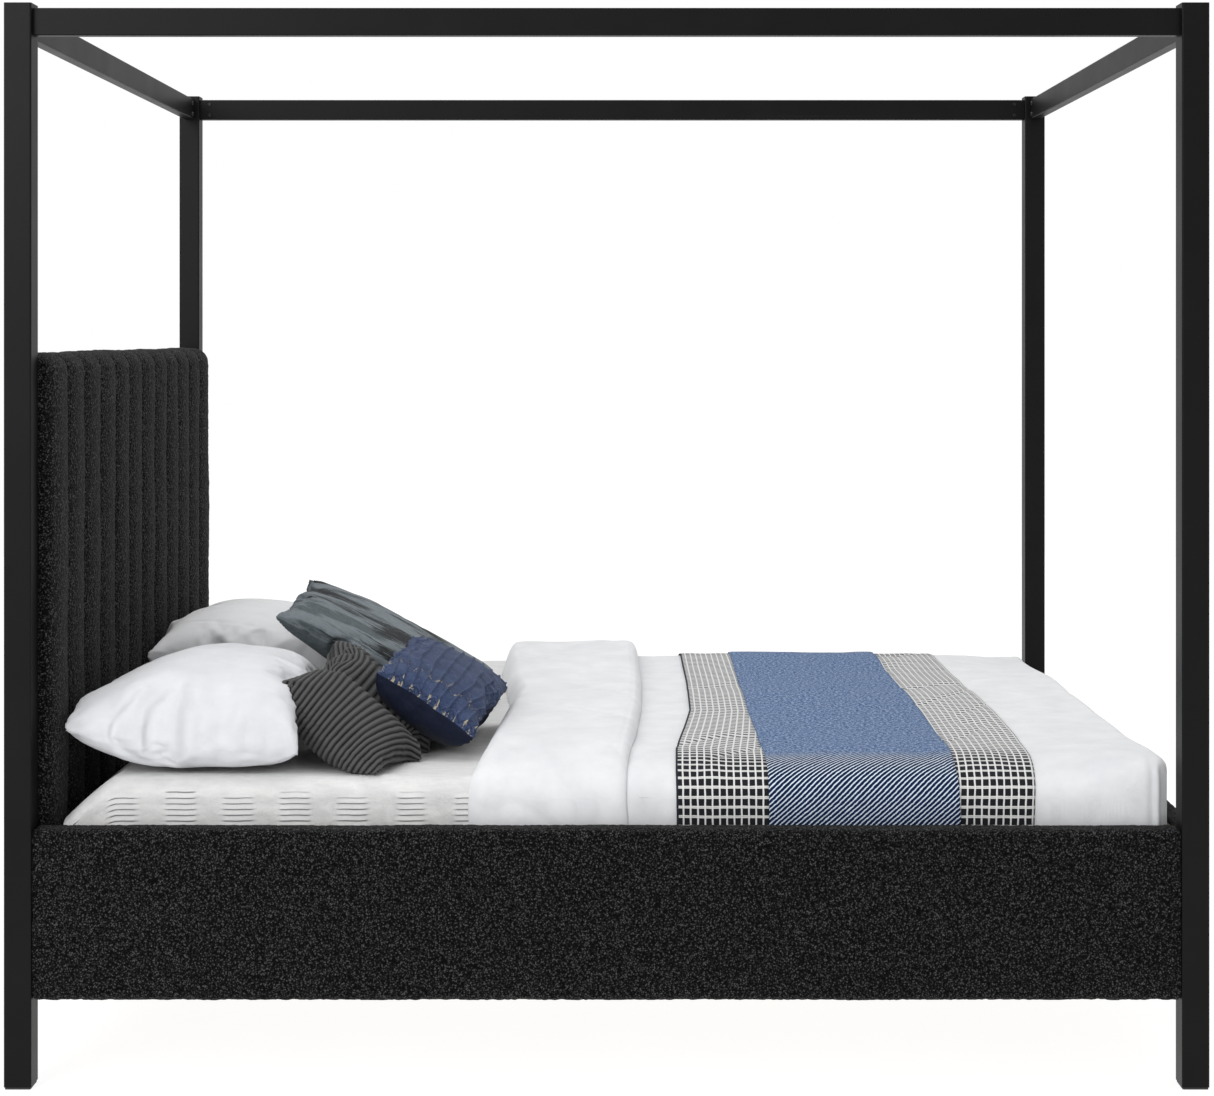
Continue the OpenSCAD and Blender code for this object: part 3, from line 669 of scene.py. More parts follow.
def headboard():
    """Twelve puffed channels that roll over the top edge to the back."""
    back, crest, depth, top_roll = -1.084, -1.0085, 0.021, 0.042
    corner, heel = 0.012, 0.009                # roundings under the front and at the top's back
    z0, z1 = RAIL_Z[0], HEAD_TOP
    channels = 12
    pitch = 2 * FACE_Y / channels
    fine = (1 - np.cos(np.linspace(0, math.pi, 29))) / 2
    ys = np.concatenate([-FACE_Y + pitch * (k + fine) for k in range(channels)])
    ys = np.unique(np.round(ys, 6))
    # profile: from the back of the underside, round the front and over the top to the back
    prof = [(back + 0.003, z0)] + [(x, z0) for x in np.arange(back + 0.02, crest - 0.012, 0.008)]
    prof += [(crest - corner + corner * math.sin(a), z0 + corner - corner * math.cos(a))
             for a in np.linspace(0.2, 1.57, 5)]
    prof += [(crest, z) for z in np.arange(z0 + 0.016, z1 - top_roll, 0.0048)]
    prof += [(crest - top_roll + top_roll * math.cos(a), z1 - top_roll + top_roll * math.sin(a))
             for a in np.linspace(0, math.pi / 2, 16)]
    prof += [(x, z1) for x in np.arange(crest - top_roll - 0.004, back + 0.012, -0.004)]
    prof += [(back + 0.012 - heel * math.sin(a), z1 - heel + heel * math.cos(a))
             for a in np.linspace(0, 1.57, 4)]
    prof += [(back + 0.003, z1 - 0.012), (back + 0.024, z1 - 0.012), (back + 0.027, z1 - 0.012),
             (back + 0.027, z0 + 0.012), (back + 0.003, z0 + 0.012)]
    prof = np.array(prof)
    inner = 5                                  # the profile's last points lie against the board
    nr, ns = len(prof), len(ys)
    u = ((ys + FACE_Y) / pitch) % 1.0
    u = np.where(np.abs(u - 1) < 1e-6, 0, u)
    puff = (1 - np.abs(2 * u - 1) ** 2.2) ** 0.7
    end = np.clip((FACE_Y - np.abs(ys)) / 0.016, 0, 1)
    end = 1 - np.sqrt(1 - np.clip(1 - end, 0, 1) ** 2)
    out = []
    for y, p, e in zip(ys, puff, end):
        q = prof.copy()
        d = depth * (1 - p) + 0.012 * e
        front = np.clip((prof[:, 0] - back - 0.02) / (crest - top_roll - back - 0.02), 0, 1)
        upper = np.clip((prof[:, 1] - (z1 - top_roll)) / top_roll, 0, 1)
        rear = np.clip((prof[:, 0] - back) / 0.05, 0.35, 1)
        q[:, 0] -= d * front * (1 - 0.80 * upper)
        q[:, 1] -= (0.14 * depth * (1 - p) + 0.010 * e) * upper * rear
        q[-inner:] = prof[-inner:]
        out.append(np.c_[q[:, 0], np.full(nr, y), q[:, 1]])
    world = np.array(out).reshape(-1, 3)
    soft = vnoise(world * [0.2, 1, 0.7], 0.11, 4) * 0.0016
    n = shell_normals(world, ns, nr)
    mask = np.ones(nr, bool)
    mask[-inner:] = False
    mask[0] = False
    mask = np.tile(mask, ns)
    sign = np.sign((n * (world - [-1.05, 0, 0.7])).sum(1).mean()) or 1
    moved = nubs(world, n * sign, 0.0008) + n * sign * soft[:, None]
    world = np.where(mask[:, None], moved, world)
    world[:, 1] = np.clip(world[:, 1], -FACE_Y, FACE_Y)
    ob = closed_sweep("headboard_cover", world, ns, nr, BOUCLE, "bedstead")
    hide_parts("headboard_padding")


headboard()


# ---------------- mattress
def soften_head(p):
    """The mattress slumps at its head end, where the top edge is soft."""
    t = np.clip((-0.905 - p[:, 0]) / 0.105, 0, 1.2)
    k = 1 - 0.33 * t ** 1.25
    out = p.copy()
    out[:, 2] = MAT_LOW + (p[:, 2] - MAT_LOW) * np.where(p[:, 2] > MAT_LOW, k, 1)
    return out


def mattress_outline(hx, hy, rc, count):
    """Points and outward normals round the mattress's plan, evenly spaced."""
    quarter = math.pi * rc / 2
    straight = [2 * (hx - rc), 2 * (hy - rc)]
    total = 2 * sum(straight) + 2 * math.pi * rc
    pts, nrm = [], []
    for k in range(count):
        s = total * k / count
        for side in range(4):
            length, out = straight[side % 2], hy if side % 2 == 0 else hx
            if s < length:
                p, n = np.array((s - length / 2, -out)), np.array((0.0, -1.0))
                break
            s -= length
            if s < quarter:
                n = np.array((math.sin(s / rc), -math.cos(s / rc)))
                p = np.array((length / 2, -(out - rc))) + rc * n
                break
            s -= quarter
        co, si = math.cos(side * math.pi / 2), math.sin(side * math.pi / 2)
        pts.append((co * p[0] - si * p[1], si * p[0] + co * p[1]))
        nrm.append((co * n[0] - si * n[1], si * n[0] + co * n[1]))
    return np.array(pts), np.array(nrm)


def mattress():
    """The ticking cover: piped edges and a border with shallow quilted rows."""
    x0, x1, hy, z0, z1 = -1.003, 1.0275, 0.7585, 0.2915, MAT_TOP
    per = 520                                  # points round the plan
    pts, nrm = mattress_outline((x1 - x0) / 2, hy, 0.065, per)
    pts = pts + [(x0 + x1) / 2, 0]
    piping = np.linspace(-1.4, 1.4, 7)
    rings = [(0.10, z0 + 0.001), (0.03, z0 + 0.001), (0.010, z0 + 0.003)]      # inset, height
    rings += [(0.0045 - 0.0045 * math.cos(a), z0 + 0.008 + 0.0055 * math.sin(a) - 0.0055) for a in piping]
    rings += [(0.004 - 0.003 * abs(math.sin(math.pi * (h - z0) / 0.055)) + 0.002, h)
              for h in np.linspace(z0 + 0.018, z1 - 0.022, 46)]
    rings += [(0.0045 - 0.0045 * math.cos(a), z1 - 0.014 + 0.0055 * math.sin(a)) for a in piping]
    rings += [(0.010, z1 - 0.006), (0.022, z1 - 0.001), (0.06, z1), (0.10, z1)]
    v = [np.c_[pts - nrm * inset, np.full(per, z)] for inset, z in rings]
    v = soften_head(np.array(v).reshape(-1, 3))
    nr = len(rings)
    caps = [tuple(range(per)), tuple(range((nr - 1) * per, nr * per))]
    ob = new_mesh("mattress_cover", v, grid_faces(nr, per, wrap_v=True), TICKING, "mattress_set", caps)
    fix_normals(ob)
    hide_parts("mattress_top_panel", "mattress_border", "mattress_base_panel",
                "mattress_foam", "mattress_springs")


mattress()


# ---------------- sheets and duvet
def roll(t, r):
    """Distance past the start of an edge roll, as (across, down)."""
    a = np.clip(t, 0, r * math.pi / 2) / r
    across = np.where(t < 0, t, r * np.sin(a))
    down = np.where(t < 0, 0, r * (1 - np.cos(a)) + np.clip(t - r * math.pi / 2, 0, None))
    return across, down


def drape_y(b):
    """Maps the flat width b onto the coverlet's cross-section: y and how far below the top."""
    bend = COVER_Y - COVER_ROLL
    t = np.abs(b) - bend
    across, down = roll(t, COVER_ROLL)
    return np.sign(b) * np.where(t < 0, np.abs(b), bend + across), down


def bed_half(z_low):
    """Half of the coverlet's flat width, from the middle down to a height."""
    r = COVER_ROLL
    return COVER_Y - r + r * math.pi / 2 + (COVER_Z - z_low - r)


def flat_grid(a, b):
    return [g.ravel() for g in np.meshgrid(a, b, indexing="ij")]


def coverlet():
    """The pintuck coverlet: columns of tucks down its sides, with plain stripes between them."""
    fh = bed_half(DROP_Z)
    side = np.arange(0.70, fh, 0.0015)
    bs = np.unique(np.r_[-side, -fh, np.linspace(-0.70, 0.70, 400), side, fh])
    xs = np.unique(np.r_[np.arange(-1.0015, -0.19, 0.0075), np.linspace(-0.19, 1.024, 30)])
    X, B = flat_grid(xs, bs)
    y, down = drape_y(B)
    p = np.c_[X, y, COVER_Z - down]
    turn = smooth(down / COVER_ROLL)
    out = np.c_[0 * B, y_sign(B) * turn, 1 - turn]
    out /= np.linalg.norm(out, axis=1, keepdims=True)
    col = ((X + 1.0305) / COLUMN_PITCH) % 1.0
    margin, width, edge = 0.05, 0.50, 0.02
    mask = smooth((col - margin) / edge) * smooth((margin + width - col) / edge)
    start = 0.010 * vnoise(np.c_[np.floor(X / COLUMN_PITCH), 0 * X, 0 * X], 1.0, 3)
    mask = mask * smooth((np.abs(B) - 0.772 - start) / 0.012)
    place = (np.abs(B) + 0.0004 * np.sin(X * 140)) / TUCK_PITCH
    saw = place % 1.0
    tuck = np.where(saw < 0.84, saw / 0.84, (1 - saw) / 0.16)
    soft = fbm(np.c_[X, B, 0 * X], 0.12, 31) * 0.0022 + vnoise(np.c_[X, B * 2, 0 * X], 0.05, 8) * 0.0006
    gap = np.clip(mask * 0.0040 * tuck, 0, None) + (1 - mask) * 0.0006
    gap += 0.0016 * smooth((np.abs(B) - 0.69) / 0.03) * (1 - smooth((down - COVER_ROLL) / 0.02))
    p = p + out * (gap + soft - 0.0005)[:, None]
    hem = np.clip((0.30 - (fh - np.abs(B))) / 0.3, 0, 1)
    p[:, 1] += y_sign(B) * vnoise(np.c_[X, 0 * X, 0 * X], 0.09, 12) * 0.0015 * hem
    p = soften_head(p)
    ob = new_mesh("coverlet_cloth", p, grid_faces(len(xs), len(bs)), SHEET, "mattress_set")
    # tuck places and columns, which the sheeting reads for its painted shadow line under each tuck
    rows = np.c_[place, mask, 0 * mask].astype(np.float32).ravel()
    ob.data.attributes.new("tuck_rows", "FLOAT_VECTOR", "POINT").data.foreach_set("vector", rows)
    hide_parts("coverlet")


coverlet()


def round_corners(p, ex, ey, rc):
    """Pulls the plan corners at the foot end onto an arc."""
    u = np.clip((p[:, 0] - (ex - rc)) / rc, 0, 1.3)
    v = np.clip((np.abs(p[:, 1]) - (ey - rc)) / rc, 0, 1.3)
    both = (u > 0) & (v > 0)
    uu, vv = np.clip(u, 0, 1), np.clip(v, 0, 1)
    nu, nv = uu * np.sqrt(1 - vv ** 2 / 2), vv * np.sqrt(1 - uu ** 2 / 2)
    out = p.copy()
    out[both, 0] = (ex - rc) + nu[both] * rc
    out[both, 1] = np.sign(p[both, 1]) * ((ey - rc) + nv[both] * rc)
    return out


def build_shell(name, outer, inner, nu, nv, keep, mat, body):
    """A closed body between an outer and an inner grid, leaving out points not kept."""
    bm = bmesh.new()
    layers = []
    for pts in (outer, inner):
        layers.append([bm.verts.new(tuple(p)) if k else None for p, k in zip(pts, keep)])
    edges = {}
    for li, vs in enumerate(layers):
        for i in range(nu - 1):
            for j in range(nv - 1):
                ids = (i * nv + j, (i + 1) * nv + j, (i + 1) * nv + j + 1, i * nv + j + 1)
                c = [vs[k] for k in ids]
                if any(v is None for v in c):
                    continue
                bm.faces.new(c if li == 0 else c[::-1])
                if li == 0:
                    for a, b in zip(ids, ids[1:] + ids[:1]):
                        key = (min(a, b), max(a, b))
                        edges[key] = None if key in edges else (a, b)
    for e in edges.values():
        if e:
            a, b = e
            bm.faces.new((layers[0][b], layers[0][a], layers[1][a], layers[1][b]))
    bmesh.ops.remove_doubles(bm, verts=bm.verts, dist=0.0012)
    bmesh.ops.recalc_face_normals(bm, faces=bm.faces)
    me = bpy.data.meshes.new(name)
    bm.to_mesh(me)
    bm.free()
    me.polygons.foreach_set("use_smooth", np.ones(len(me.polygons), bool))
    ob = bpy.data.objects.new(name, me)
    bpy.context.scene.collection.objects.link(ob)
    me.materials.append(mat)
    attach(ob, body)
    return ob


# ---------------- layers laid on the bed
def on_bed(x, b, d):
    """Points over the coverlet's cross-section, at flat width b and distance d."""
    y, down = drape_y(b)
    t = np.clip((np.abs(b) - (COVER_Y - COVER_ROLL)) / COVER_ROLL, 0, math.pi / 2)
    return np.c_[x, y, COVER_Z - down] + np.c_[0 * b, y_sign(b) * np.sin(t), np.cos(t)] * d[:, None]


def duvet_profile(b, y0=SHOULDER_Y):
    """Outer cross-section of the duvet at arc length b: y, z, normal and share of side."""
    a = DUVET_Y - y0
    drop = min(SHOULDER_DROP, a * 1.1)
    t = np.linspace(0, math.pi / 2, 200)
    power = 2 / 3
    ys = np.r_[0, y0 + a * np.sin(t) ** power, DUVET_Y]
    zs = np.r_[DUVET_TOP, DUVET_TOP - drop * (1 - np.cos(t) ** power), 0.0]
    length = np.r_[0, np.cumsum(np.hypot(np.diff(ys), np.diff(zs)))]
    q = np.abs(b)
    y, z = np.interp(q, length, ys), np.interp(q, length, zs)
    e = 0.006
    ty = np.interp(q + e, length, ys) - np.interp(q - e, length, ys)
    tz = np.interp(q + e, length, zs) - np.interp(q - e, length, zs)
    ny, nz = -tz, ty
    size = np.hypot(ny, nz)
    ny, nz = ny / size, nz / size
    middle = q < e
    ny, nz = np.where(middle, 0, ny), np.where(middle, 1, nz)
    share = smooth((q - y0) / (length[-2] - y0))
    return y_sign(b) * y, z, np.c_[0 * q, y_sign(b) * ny, nz], share


def profile_half(z_low, y0=SHOULDER_Y):
    """Arc length of half the duvet's cross-section, down to a height."""
    b = np.linspace(0.5, 1.3, 4000)
    return float(np.interp(-z_low, -duvet_profile(b, y0)[1], b))


def on_duvet(x, b, d, y0=SHOULDER_Y):
    y, z, n, _ = duvet_profile(b, y0)
    return np.c_[x, y, z] + n * d[:, None]


def under_duvet(x, b, d, half):
    """A point on the coverlet below arc length b of the duvet."""
    q = np.abs(b)
    scale = (bed_half(DROP_Z) - SHOULDER_Y) / (half - SHOULDER_Y)
    inner = np.where(q < SHOULDER_Y, q, SHOULDER_Y + (q - SHOULDER_Y) * scale)
    return on_bed(x, y_sign(b) * inner, d)


def duvet_soft(x, b, share):
    """Puffs and creases of the duvet's top and sides."""
    p = np.c_[x, b, 0 * x]
    puff = 0.0055 * fbm(p, 0.34, 51, 2) + 0.0028 * vnoise(p * [1.0, 0.55, 1], 0.11, 57)
    turned = turn_flat(p, 0.8, 0.6)
    crease = 0.0035 * ridge(turned * [1, 0.35, 1], 0.13, 61, 3.2)
    hang = 0.0018 * vnoise(p * [1, 0.28, 1], 0.038, 71) - 0.0016 * ridge(turned * [1, 0.5, 1], 0.07, 73, 3.0)
    return (puff - crease) * (1 - share) + np.clip(hang, -0.0035, 0.0012) * share


def edge_line(points):
    """x of an edge against y, from points measured along the bed."""
    ys, xs = zip(*points)
    return lambda b: np.interp(np.clip(b, -0.95, 0.95), ys, xs)


def across_steps(half, sides, middle):
    """Flat places across the duvet: its near side, its middle and its far side."""
    return np.unique(np.r_[np.linspace(-half, -DUVET_MIDDLE, sides),
                           np.linspace(-DUVET_MIDDLE, DUVET_MIDDLE, middle),
                           np.linspace(DUVET_MIDDLE, half, sides)])


FOLD_LEFT = edge_line([(-0.93, -0.252), (-0.80, -0.256), (-0.74, -0.250), (-0.62, -0.240), (-0.30, -0.228),
                       (0.0, -0.212), (0.12, -0.228), (0.5, -0.262), (0.75, -0.262), (0.93, -0.25)])
FOLD_RIGHT = edge_line([(-0.93, 0.047), (-0.80, 0.036), (-0.74, 0.037), (-0.48, 0.055), (-0.17, 0.067),
                        (0.18, 0.071), (0.5, 0.066), (0.93, 0.06)])


def duvet_fold():
    """The duvet's head end turned back on itself: a soft thick band across the bed."""
    half = profile_half(DROP_Z + 0.004)
    bs = np.linspace(-half, half, 300)
    n_out, n_in = 74, 40
    k = (1 - np.cos(np.linspace(0, math.pi, n_out))) / 2
    ki = np.linspace(1, 0, n_in + 2)[1:-1]
    rows = []
    for b in bs:
        xl, xr = float(FOLD_LEFT(b)), float(FOLD_RIGHT(b))
        x, xi = xl + (xr - xl) * k, xl + (xr - xl) * ki
        bb, bi = np.full(n_out, b), np.full(n_in, b)
        s = float(duvet_profile(np.array([b]))[3][0])
        p = np.c_[x, bb, 0 * x]
        shape_l = np.sqrt(np.clip(1 - (1 - np.clip((x - xl) / 0.034, 0, 1)) ** 2, 0, 1))
        shape_r = np.sqrt(np.clip(1 - (1 - np.clip((xr - x) / 0.024, 0, 1)) ** 2, 0, 1))
        puff = 0.0055 * fbm(p * [1, 0.6, 1], 0.2, 91, 2) + 0.0018 * vnoise(p * [1, 0.5, 1], 0.07, 93)
        turned = turn_flat(p, 0.75, -0.66)
        crease = 0.0040 * ridge(turned * [1, 0.3, 1], 0.10, 95, 3.5)
        hang = -0.0030 * ridge(turned * [1, 0.22, 1], 0.075, 97, 3.0)
        hang = hang + 0.0010 * vnoise(p * [1, 0.3, 1], 0.04, 98)
        far = 0.013 * smooth((b - 0.15) / 0.4)
        high = (0.0285 + far + puff - crease) * (1 - s) + (0.0092 + hang) * s
        seam = 0.0016 * (1 - s) * np.exp(-((xr - x - 0.020) / 0.003) ** 2)
        rest = np.where(x > -0.19, 0.0008 + duvet_soft(x, bb, np.full(n_out, s)), 0.0)
        right = rest[-1] + (high - rest[-1]) * shape_r
        up = on_duvet(x, bb, np.where(k < 0.5, high * shape_l, right) - seam)
        low = under_duvet(x, bb, np.full(n_out, BED_GAP), half)
        lay = np.where(k < 0.5, shape_l, 1.0)[:, None]
        out = low * (1 - lay) + up * lay
        bed = under_duvet(xi, bi, np.full(n_in, BED_GAP), half)
        cover = on_duvet(xi, bi, duvet_soft(xi, bi, np.full(n_in, s)) + 0.0006)
        on = smooth((xi + 0.197) / 0.016)[:, None]
        rows.append(np.r_[out, bed * (1 - on) + cover * on])
    v = np.array(rows).reshape(-1, 3)
    ob = closed_sweep("duvet_fold", v, len(bs), n_out + n_in, WHITE, "mattress_set")


def duvet():
    """The body of the duvet: over the bed, down both sides and over the foot."""
    half = profile_half(DROP_Z)
    r = 0.022                                  # radius over the foot
    foot = FOOT_X + 0.004
    bend = foot - r
    bs = across_steps(half, 85, 90)
    a_end = foot - r + r * math.pi / 2 + (DUVET_TOP - DROP_Z - r)
    xs = np.unique(np.r_[np.linspace(DUVET_HEAD, foot - 0.08, 120), np.linspace(foot - 0.08, bend, 14),
                         np.linspace(bend, a_end, 44)])
    outer, inner = [], []
    for X in xs:
        x = np.full(len(bs), X)
        near_foot = smooth((X - 0.80) / 0.20)
        y0 = SHOULDER_Y + 0.135 * near_foot
        end = profile_half(DROP_Z, y0)
        side = DUVET_MIDDLE + (np.abs(bs) - DUVET_MIDDLE) * (end - DUVET_MIDDLE) / (half - DUVET_MIDDLE)
        q = np.where(np.abs(bs) < DUVET_MIDDLE, bs, y_sign(bs) * side)
        ax, down = roll(np.array([X - bend]), r)
        px = X if X < bend else bend + float(ax[0])
        fall = float(down[0]) if X > bend else 0.0
        s = duvet_profile(q, y0)[3]
        over = smooth(fall / 0.03)
        lip = smooth((X - DUVET_HEAD) / 0.02)
        near_lift = 0.013 * smooth((-bs - 0.40) / 0.30) * (1 - 0.2 * s)
        lift = np.where(bs < 0, near_lift, -0.020 * smooth((bs - 0.25) / 0.40) * (1 - s))
        pinch = -0.0032 * math.exp(-((X - (foot - 0.034)) / 0.006) ** 2) * s * np.where(bs < 0, 1.0, 0.4)
        soft = duvet_soft(x, q, s) * (1 - over) + (lift * near_foot + pinch)
        top = on_duvet(np.full(len(bs), px), q, soft, y0)
        low = under_duvet(np.full(len(bs), min(px, foot - 0.005)), bs, np.full(len(bs), BED_GAP), half)
        fold = np.c_[X * 0.4 + 0 * bs, bs, 0 * bs]
        top[:, 0] += np.clip(0.0016 * vnoise(fold, 0.05, 77), -0.0015, 0.0012) * over
        top[:, 2] -= fall
        low[:, 2] -= fall
        if fall > 0.012:
            low[:, 2] = np.minimum(low[:, 2], top[:, 2])
        outer.append(low + (top - low) * lip if lip < 1 else top)
        inner.append(low)
    p_out = round_corners(np.concatenate(outer), foot, DUVET_Y, r)
    p_in = round_corners(np.concatenate(inner), foot - 0.005, DUVET_Y - 0.005, r)
    for p in (p_out, p_in):
        p[:, 2] = np.maximum(p[:, 2], DROP_Z - 0.0003)
    X, B = flat_grid(xs, bs)
    hanging = (X > bend + r * 1.58) & (np.abs(p_out[:, 1]) > DUVET_Y - 0.0005)
    keep = ~(hanging & (np.abs(B) > half - 0.155))
    ob = build_shell("duvet_body", p_out, p_in, len(xs), len(bs), keep, WHITE, "mattress_set")
    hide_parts("duvet")


def throw(name, left, right, gap, drop, mat, nx, nb, wrinkle, thick, node):
    """A flat woven throw laid across the duvet and hanging down both sides."""
    half = profile_half(drop)
    bs = across_steps(half, nb // 3, nb // 3)
    k = np.linspace(0, 1, nx)
    K, B = flat_grid(k, bs)
    xl, xr = left(B), right(B)
    x = xl + (xr - xl) * K
    s = duvet_profile(B)[3]
    p = np.c_[x, B, 0 * x]
    lines = vnoise(p * [1, 0.16, 1], 0.045, 101) * 0.5 + vnoise(p * [1, 0.3, 1], 0.09, 103)
    soft = wrinkle * np.clip(lines * 0.6 + 0.4, 0, 1.2) * (1 - s) + 0.0006 * np.clip(lines, -1, 1) * s
    edge = np.minimum(K, 1 - K) * (xr - xl)
    d = duvet_soft(x, B, s) + gap * (1 - 0.25 * s) + soft
    d -= 0.0008 * np.clip(1 - edge / 0.006, 0, 1)
    v = on_duvet(x, B, d)
    uv = np.c_[K * (right(B) - left(B)).mean(), B]
    ob = new_mesh(name, v, grid_faces(len(k), len(bs)), mat, "mattress_set", uv=uv)
    fix_normals(ob)
    solid = ob.modifiers.new("thickness", "SOLIDIFY")
    solid.thickness = thick
    solid.offset = 0
    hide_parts(node)

duvet()
duvet_fold()
CHECK_LEFT = edge_line([(-0.95, 0.130), (-0.74, 0.127), (-0.615, 0.130), (-0.40, 0.150),
                        (-0.18, 0.168), (0.23, 0.172), (0.65, 0.168), (0.95, 0.16)])
CHECK_RIGHT = edge_line([(-0.95, 0.782), (-0.80, 0.786), (-0.66, 0.796), (-0.46, 0.802),
                         (-0.06, 0.800), (0.37, 0.794), (0.72, 0.789), (0.95, 0.785)])
BLUE_LEFT = edge_line([(-0.95, 0.300), (-0.74, 0.297), (-0.2, 0.290), (0.66, 0.289), (0.95, 0.292)])
BLUE_RIGHT = edge_line([(-0.95, 0.654), (-0.74, 0.646), (-0.14, 0.650), (0.70, 0.645), (0.95, 0.648)])
throw("check_throw_cloth", CHECK_LEFT, CHECK_RIGHT, 0.0028, DROP_Z + 0.006, check_cloth(),
      118, 380, 0.0035, 0.0022, "check_throw")
throw("blue_throw_cloth", BLUE_LEFT, BLUE_RIGHT, 0.0085, DROP_Z + 0.012, blue_cloth(),
      90, 400, 0.0015, 0.0022, "blue_throw")


# ---------------- pillows and cushions
CLOTH_FRAMES = 24


def inflate(name, l, w, nu, nv, puff, seed):
    """Two panels sewn round their rim and blown up by cloth pressure. Returns the object."""
    us, vs = np.linspace(-1, 1, nu), np.linspace(-1, 1, nv)
    U, V = np.meshgrid(us, vs, indexing="ij")
    f = np.clip((1 - U ** 2) * (1 - V ** 2), 0, None) ** 0.5
    rng = np.random.default_rng(seed)
    jit = rng.normal(0, 0.0004, U.shape)
    top = np.c_[(U * l / 2).ravel(), (V * w / 2).ravel(), (f * puff / 2 + jit * (f > 0)).ravel()]
    rim = (np.abs(U) > 0.9999) | (np.abs(V) > 0.9999)
    rim = rim.ravel()
    low = top * [1, 1, -1]
    idx_low = np.full(nu * nv, -1)
    idx_low[~rim] = nu * nv + np.arange((~rim).sum())
    idx_low[rim] = np.arange(nu * nv)[rim]
    verts = np.r_[top, low[~rim]]
    q = grid_faces(nu, nv)
    quads = np.r_[q, idx_low[q][:, ::-1]]
    ob = new_mesh(name, verts, quads)
    side = np.r_[np.where(rim, 0.0, 1.0), -np.ones((~rim).sum())]
    att = ob.data.attributes.new("flat_place", "FLOAT_VECTOR", "POINT")
    att.data.foreach_set("vector", np.c_[verts[:, :2], side].astype(np.float32).ravel())
    m = ob.modifiers.new("cloth", "CLOTH")
    c = m.settings
    c.quality = 6
    c.mass = 0.25
    c.tension_stiffness = c.compression_stiffness = 25
    c.shear_stiffness = 4.0
    c.bending_stiffness = 0.4
    c.tension_damping = c.compression_damping = 8
    c.air_damping = 2.5
    c.use_pressure = True
    c.uniform_pressure_force = 5.0
    c.effector_weights.gravity = 0
    m.collision_settings.use_collision = False
    m.collision_settings.use_self_collision = False
    m.point_cache.frame_start, m.point_cache.frame_end = 1, CLOTH_FRAMES
    sc = bpy.context.scene
    for fr in range(1, CLOTH_FRAMES + 1):
        sc.frame_set(fr)
    dg = bpy.context.evaluated_depsgraph_get()
    blown = read_vectors(ob.evaluated_get(dg).data.vertices, "co")
    ob.modifiers.clear()
    set_coords(ob.data, blown)
    sc.frame_set(1)
    return ob


def refine(ob, levels):
    m = ob.modifiers.new("fine", "SUBSURF")
    m.levels = m.render_levels = levels
    dg = bpy.context.evaluated_depsgraph_get()
    me = bpy.data.meshes.new_from_object(ob.evaluated_get(dg))
    ob.modifiers.clear()
    old = ob.data
    ob.data = me
    bpy.data.meshes.remove(old)
    me.polygons.foreach_set("use_smooth", np.ones(len(me.polygons), bool))


def read_vectors(data, key):
    values = np.empty(len(data) * 3, np.float32)
    data.foreach_get(key, values)
    return values.reshape(-1, 3).astype(float)


def coords(me):
    return read_vectors(me.vertices, "co")


def set_coords(me, p):
    me.vertices.foreach_set("co", p.astype(np.float32).ravel())
    me.update()


def keep_clear(me, p, others, gap=0.0012, most=0.045):
    """Dents a soft piece where it lies inside others, and eases the cloth around the dent."""
    dg = bpy.context.evaluated_depsgraph_get()
    rays = (Vector((0.11, 0.07, 0.99)).normalized(), Vector((-0.93, 0.21, 0.31)).normalized())

    def inside(tree, q):
        for ray in rays:
            hits, at = 0, q
            while hits < 12:
                hit = tree.ray_cast(at, ray)
                if hit[0] is None:
                    break
                hits, at = hits + 1, hit[0] + ray * 1e-5
            if hits % 2 == 0:
                return False
        return True

    edges = np.empty(len(me.edges) * 2, np.int32)
    me.edges.foreach_get("vertices", edges)
    edges = edges.reshape(-1, 2)
    count = np.maximum(np.bincount(edges.ravel(), minlength=len(p)), 1)[:, None]
    for o in others:
        tree = BVHTree.FromObject(o, dg)
        box = coords(o.data)
        lo, hi = box.min(0), box.max(0)
        move = np.zeros_like(p)
        hard = np.zeros(len(p), bool)
        for i in np.nonzero(((p > lo) & (p < hi)).all(1))[0]:
            q = Vector(p[i])
            if inside(tree, q):
                hit = tree.find_nearest(q)
                d = np.array(hit[0] + hit[1] * gap) - p[i]
                size = np.linalg.norm(d)
                move[i] = d * min(1.0, most / size)
                hard[i] = True
        soft = move.copy()
        for _ in range(6):
            total = np.zeros_like(p)
            np.add.at(total, edges[:, 0], soft[edges[:, 1]])
            np.add.at(total, edges[:, 1], soft[edges[:, 0]])
            soft = 0.5 * soft + 0.5 * total / count
            soft[hard] = move[hard]
        p = p + soft
    return p


def bed_floor(x, y):
    """Height of what a pillow lies on: the coverlet, or the duvet's fold beyond its edge."""
    on_fold = smooth((x - FOLD_LEFT(y) + 0.004) / 0.03)
    return np.full(len(x), COVER_Z + 0.0035) + on_fold * 0.056


def rim_line(u, v, flat):
    """How far the sewn rim across u stands out, against v."""
    rim = np.abs(flat) > np.abs(flat).max() - 1e-4
    bins = np.linspace(-1.02, 1.02, 26)
    which = np.digitize(v[rim], bins)
    at = [(v[rim][which == k].mean(), np.abs(u[rim][which == k]).mean()) for k in np.unique(which)]
    xs, ys = np.array(sorted(at)).T
    return lambda q: np.interp(q, xs, ys)


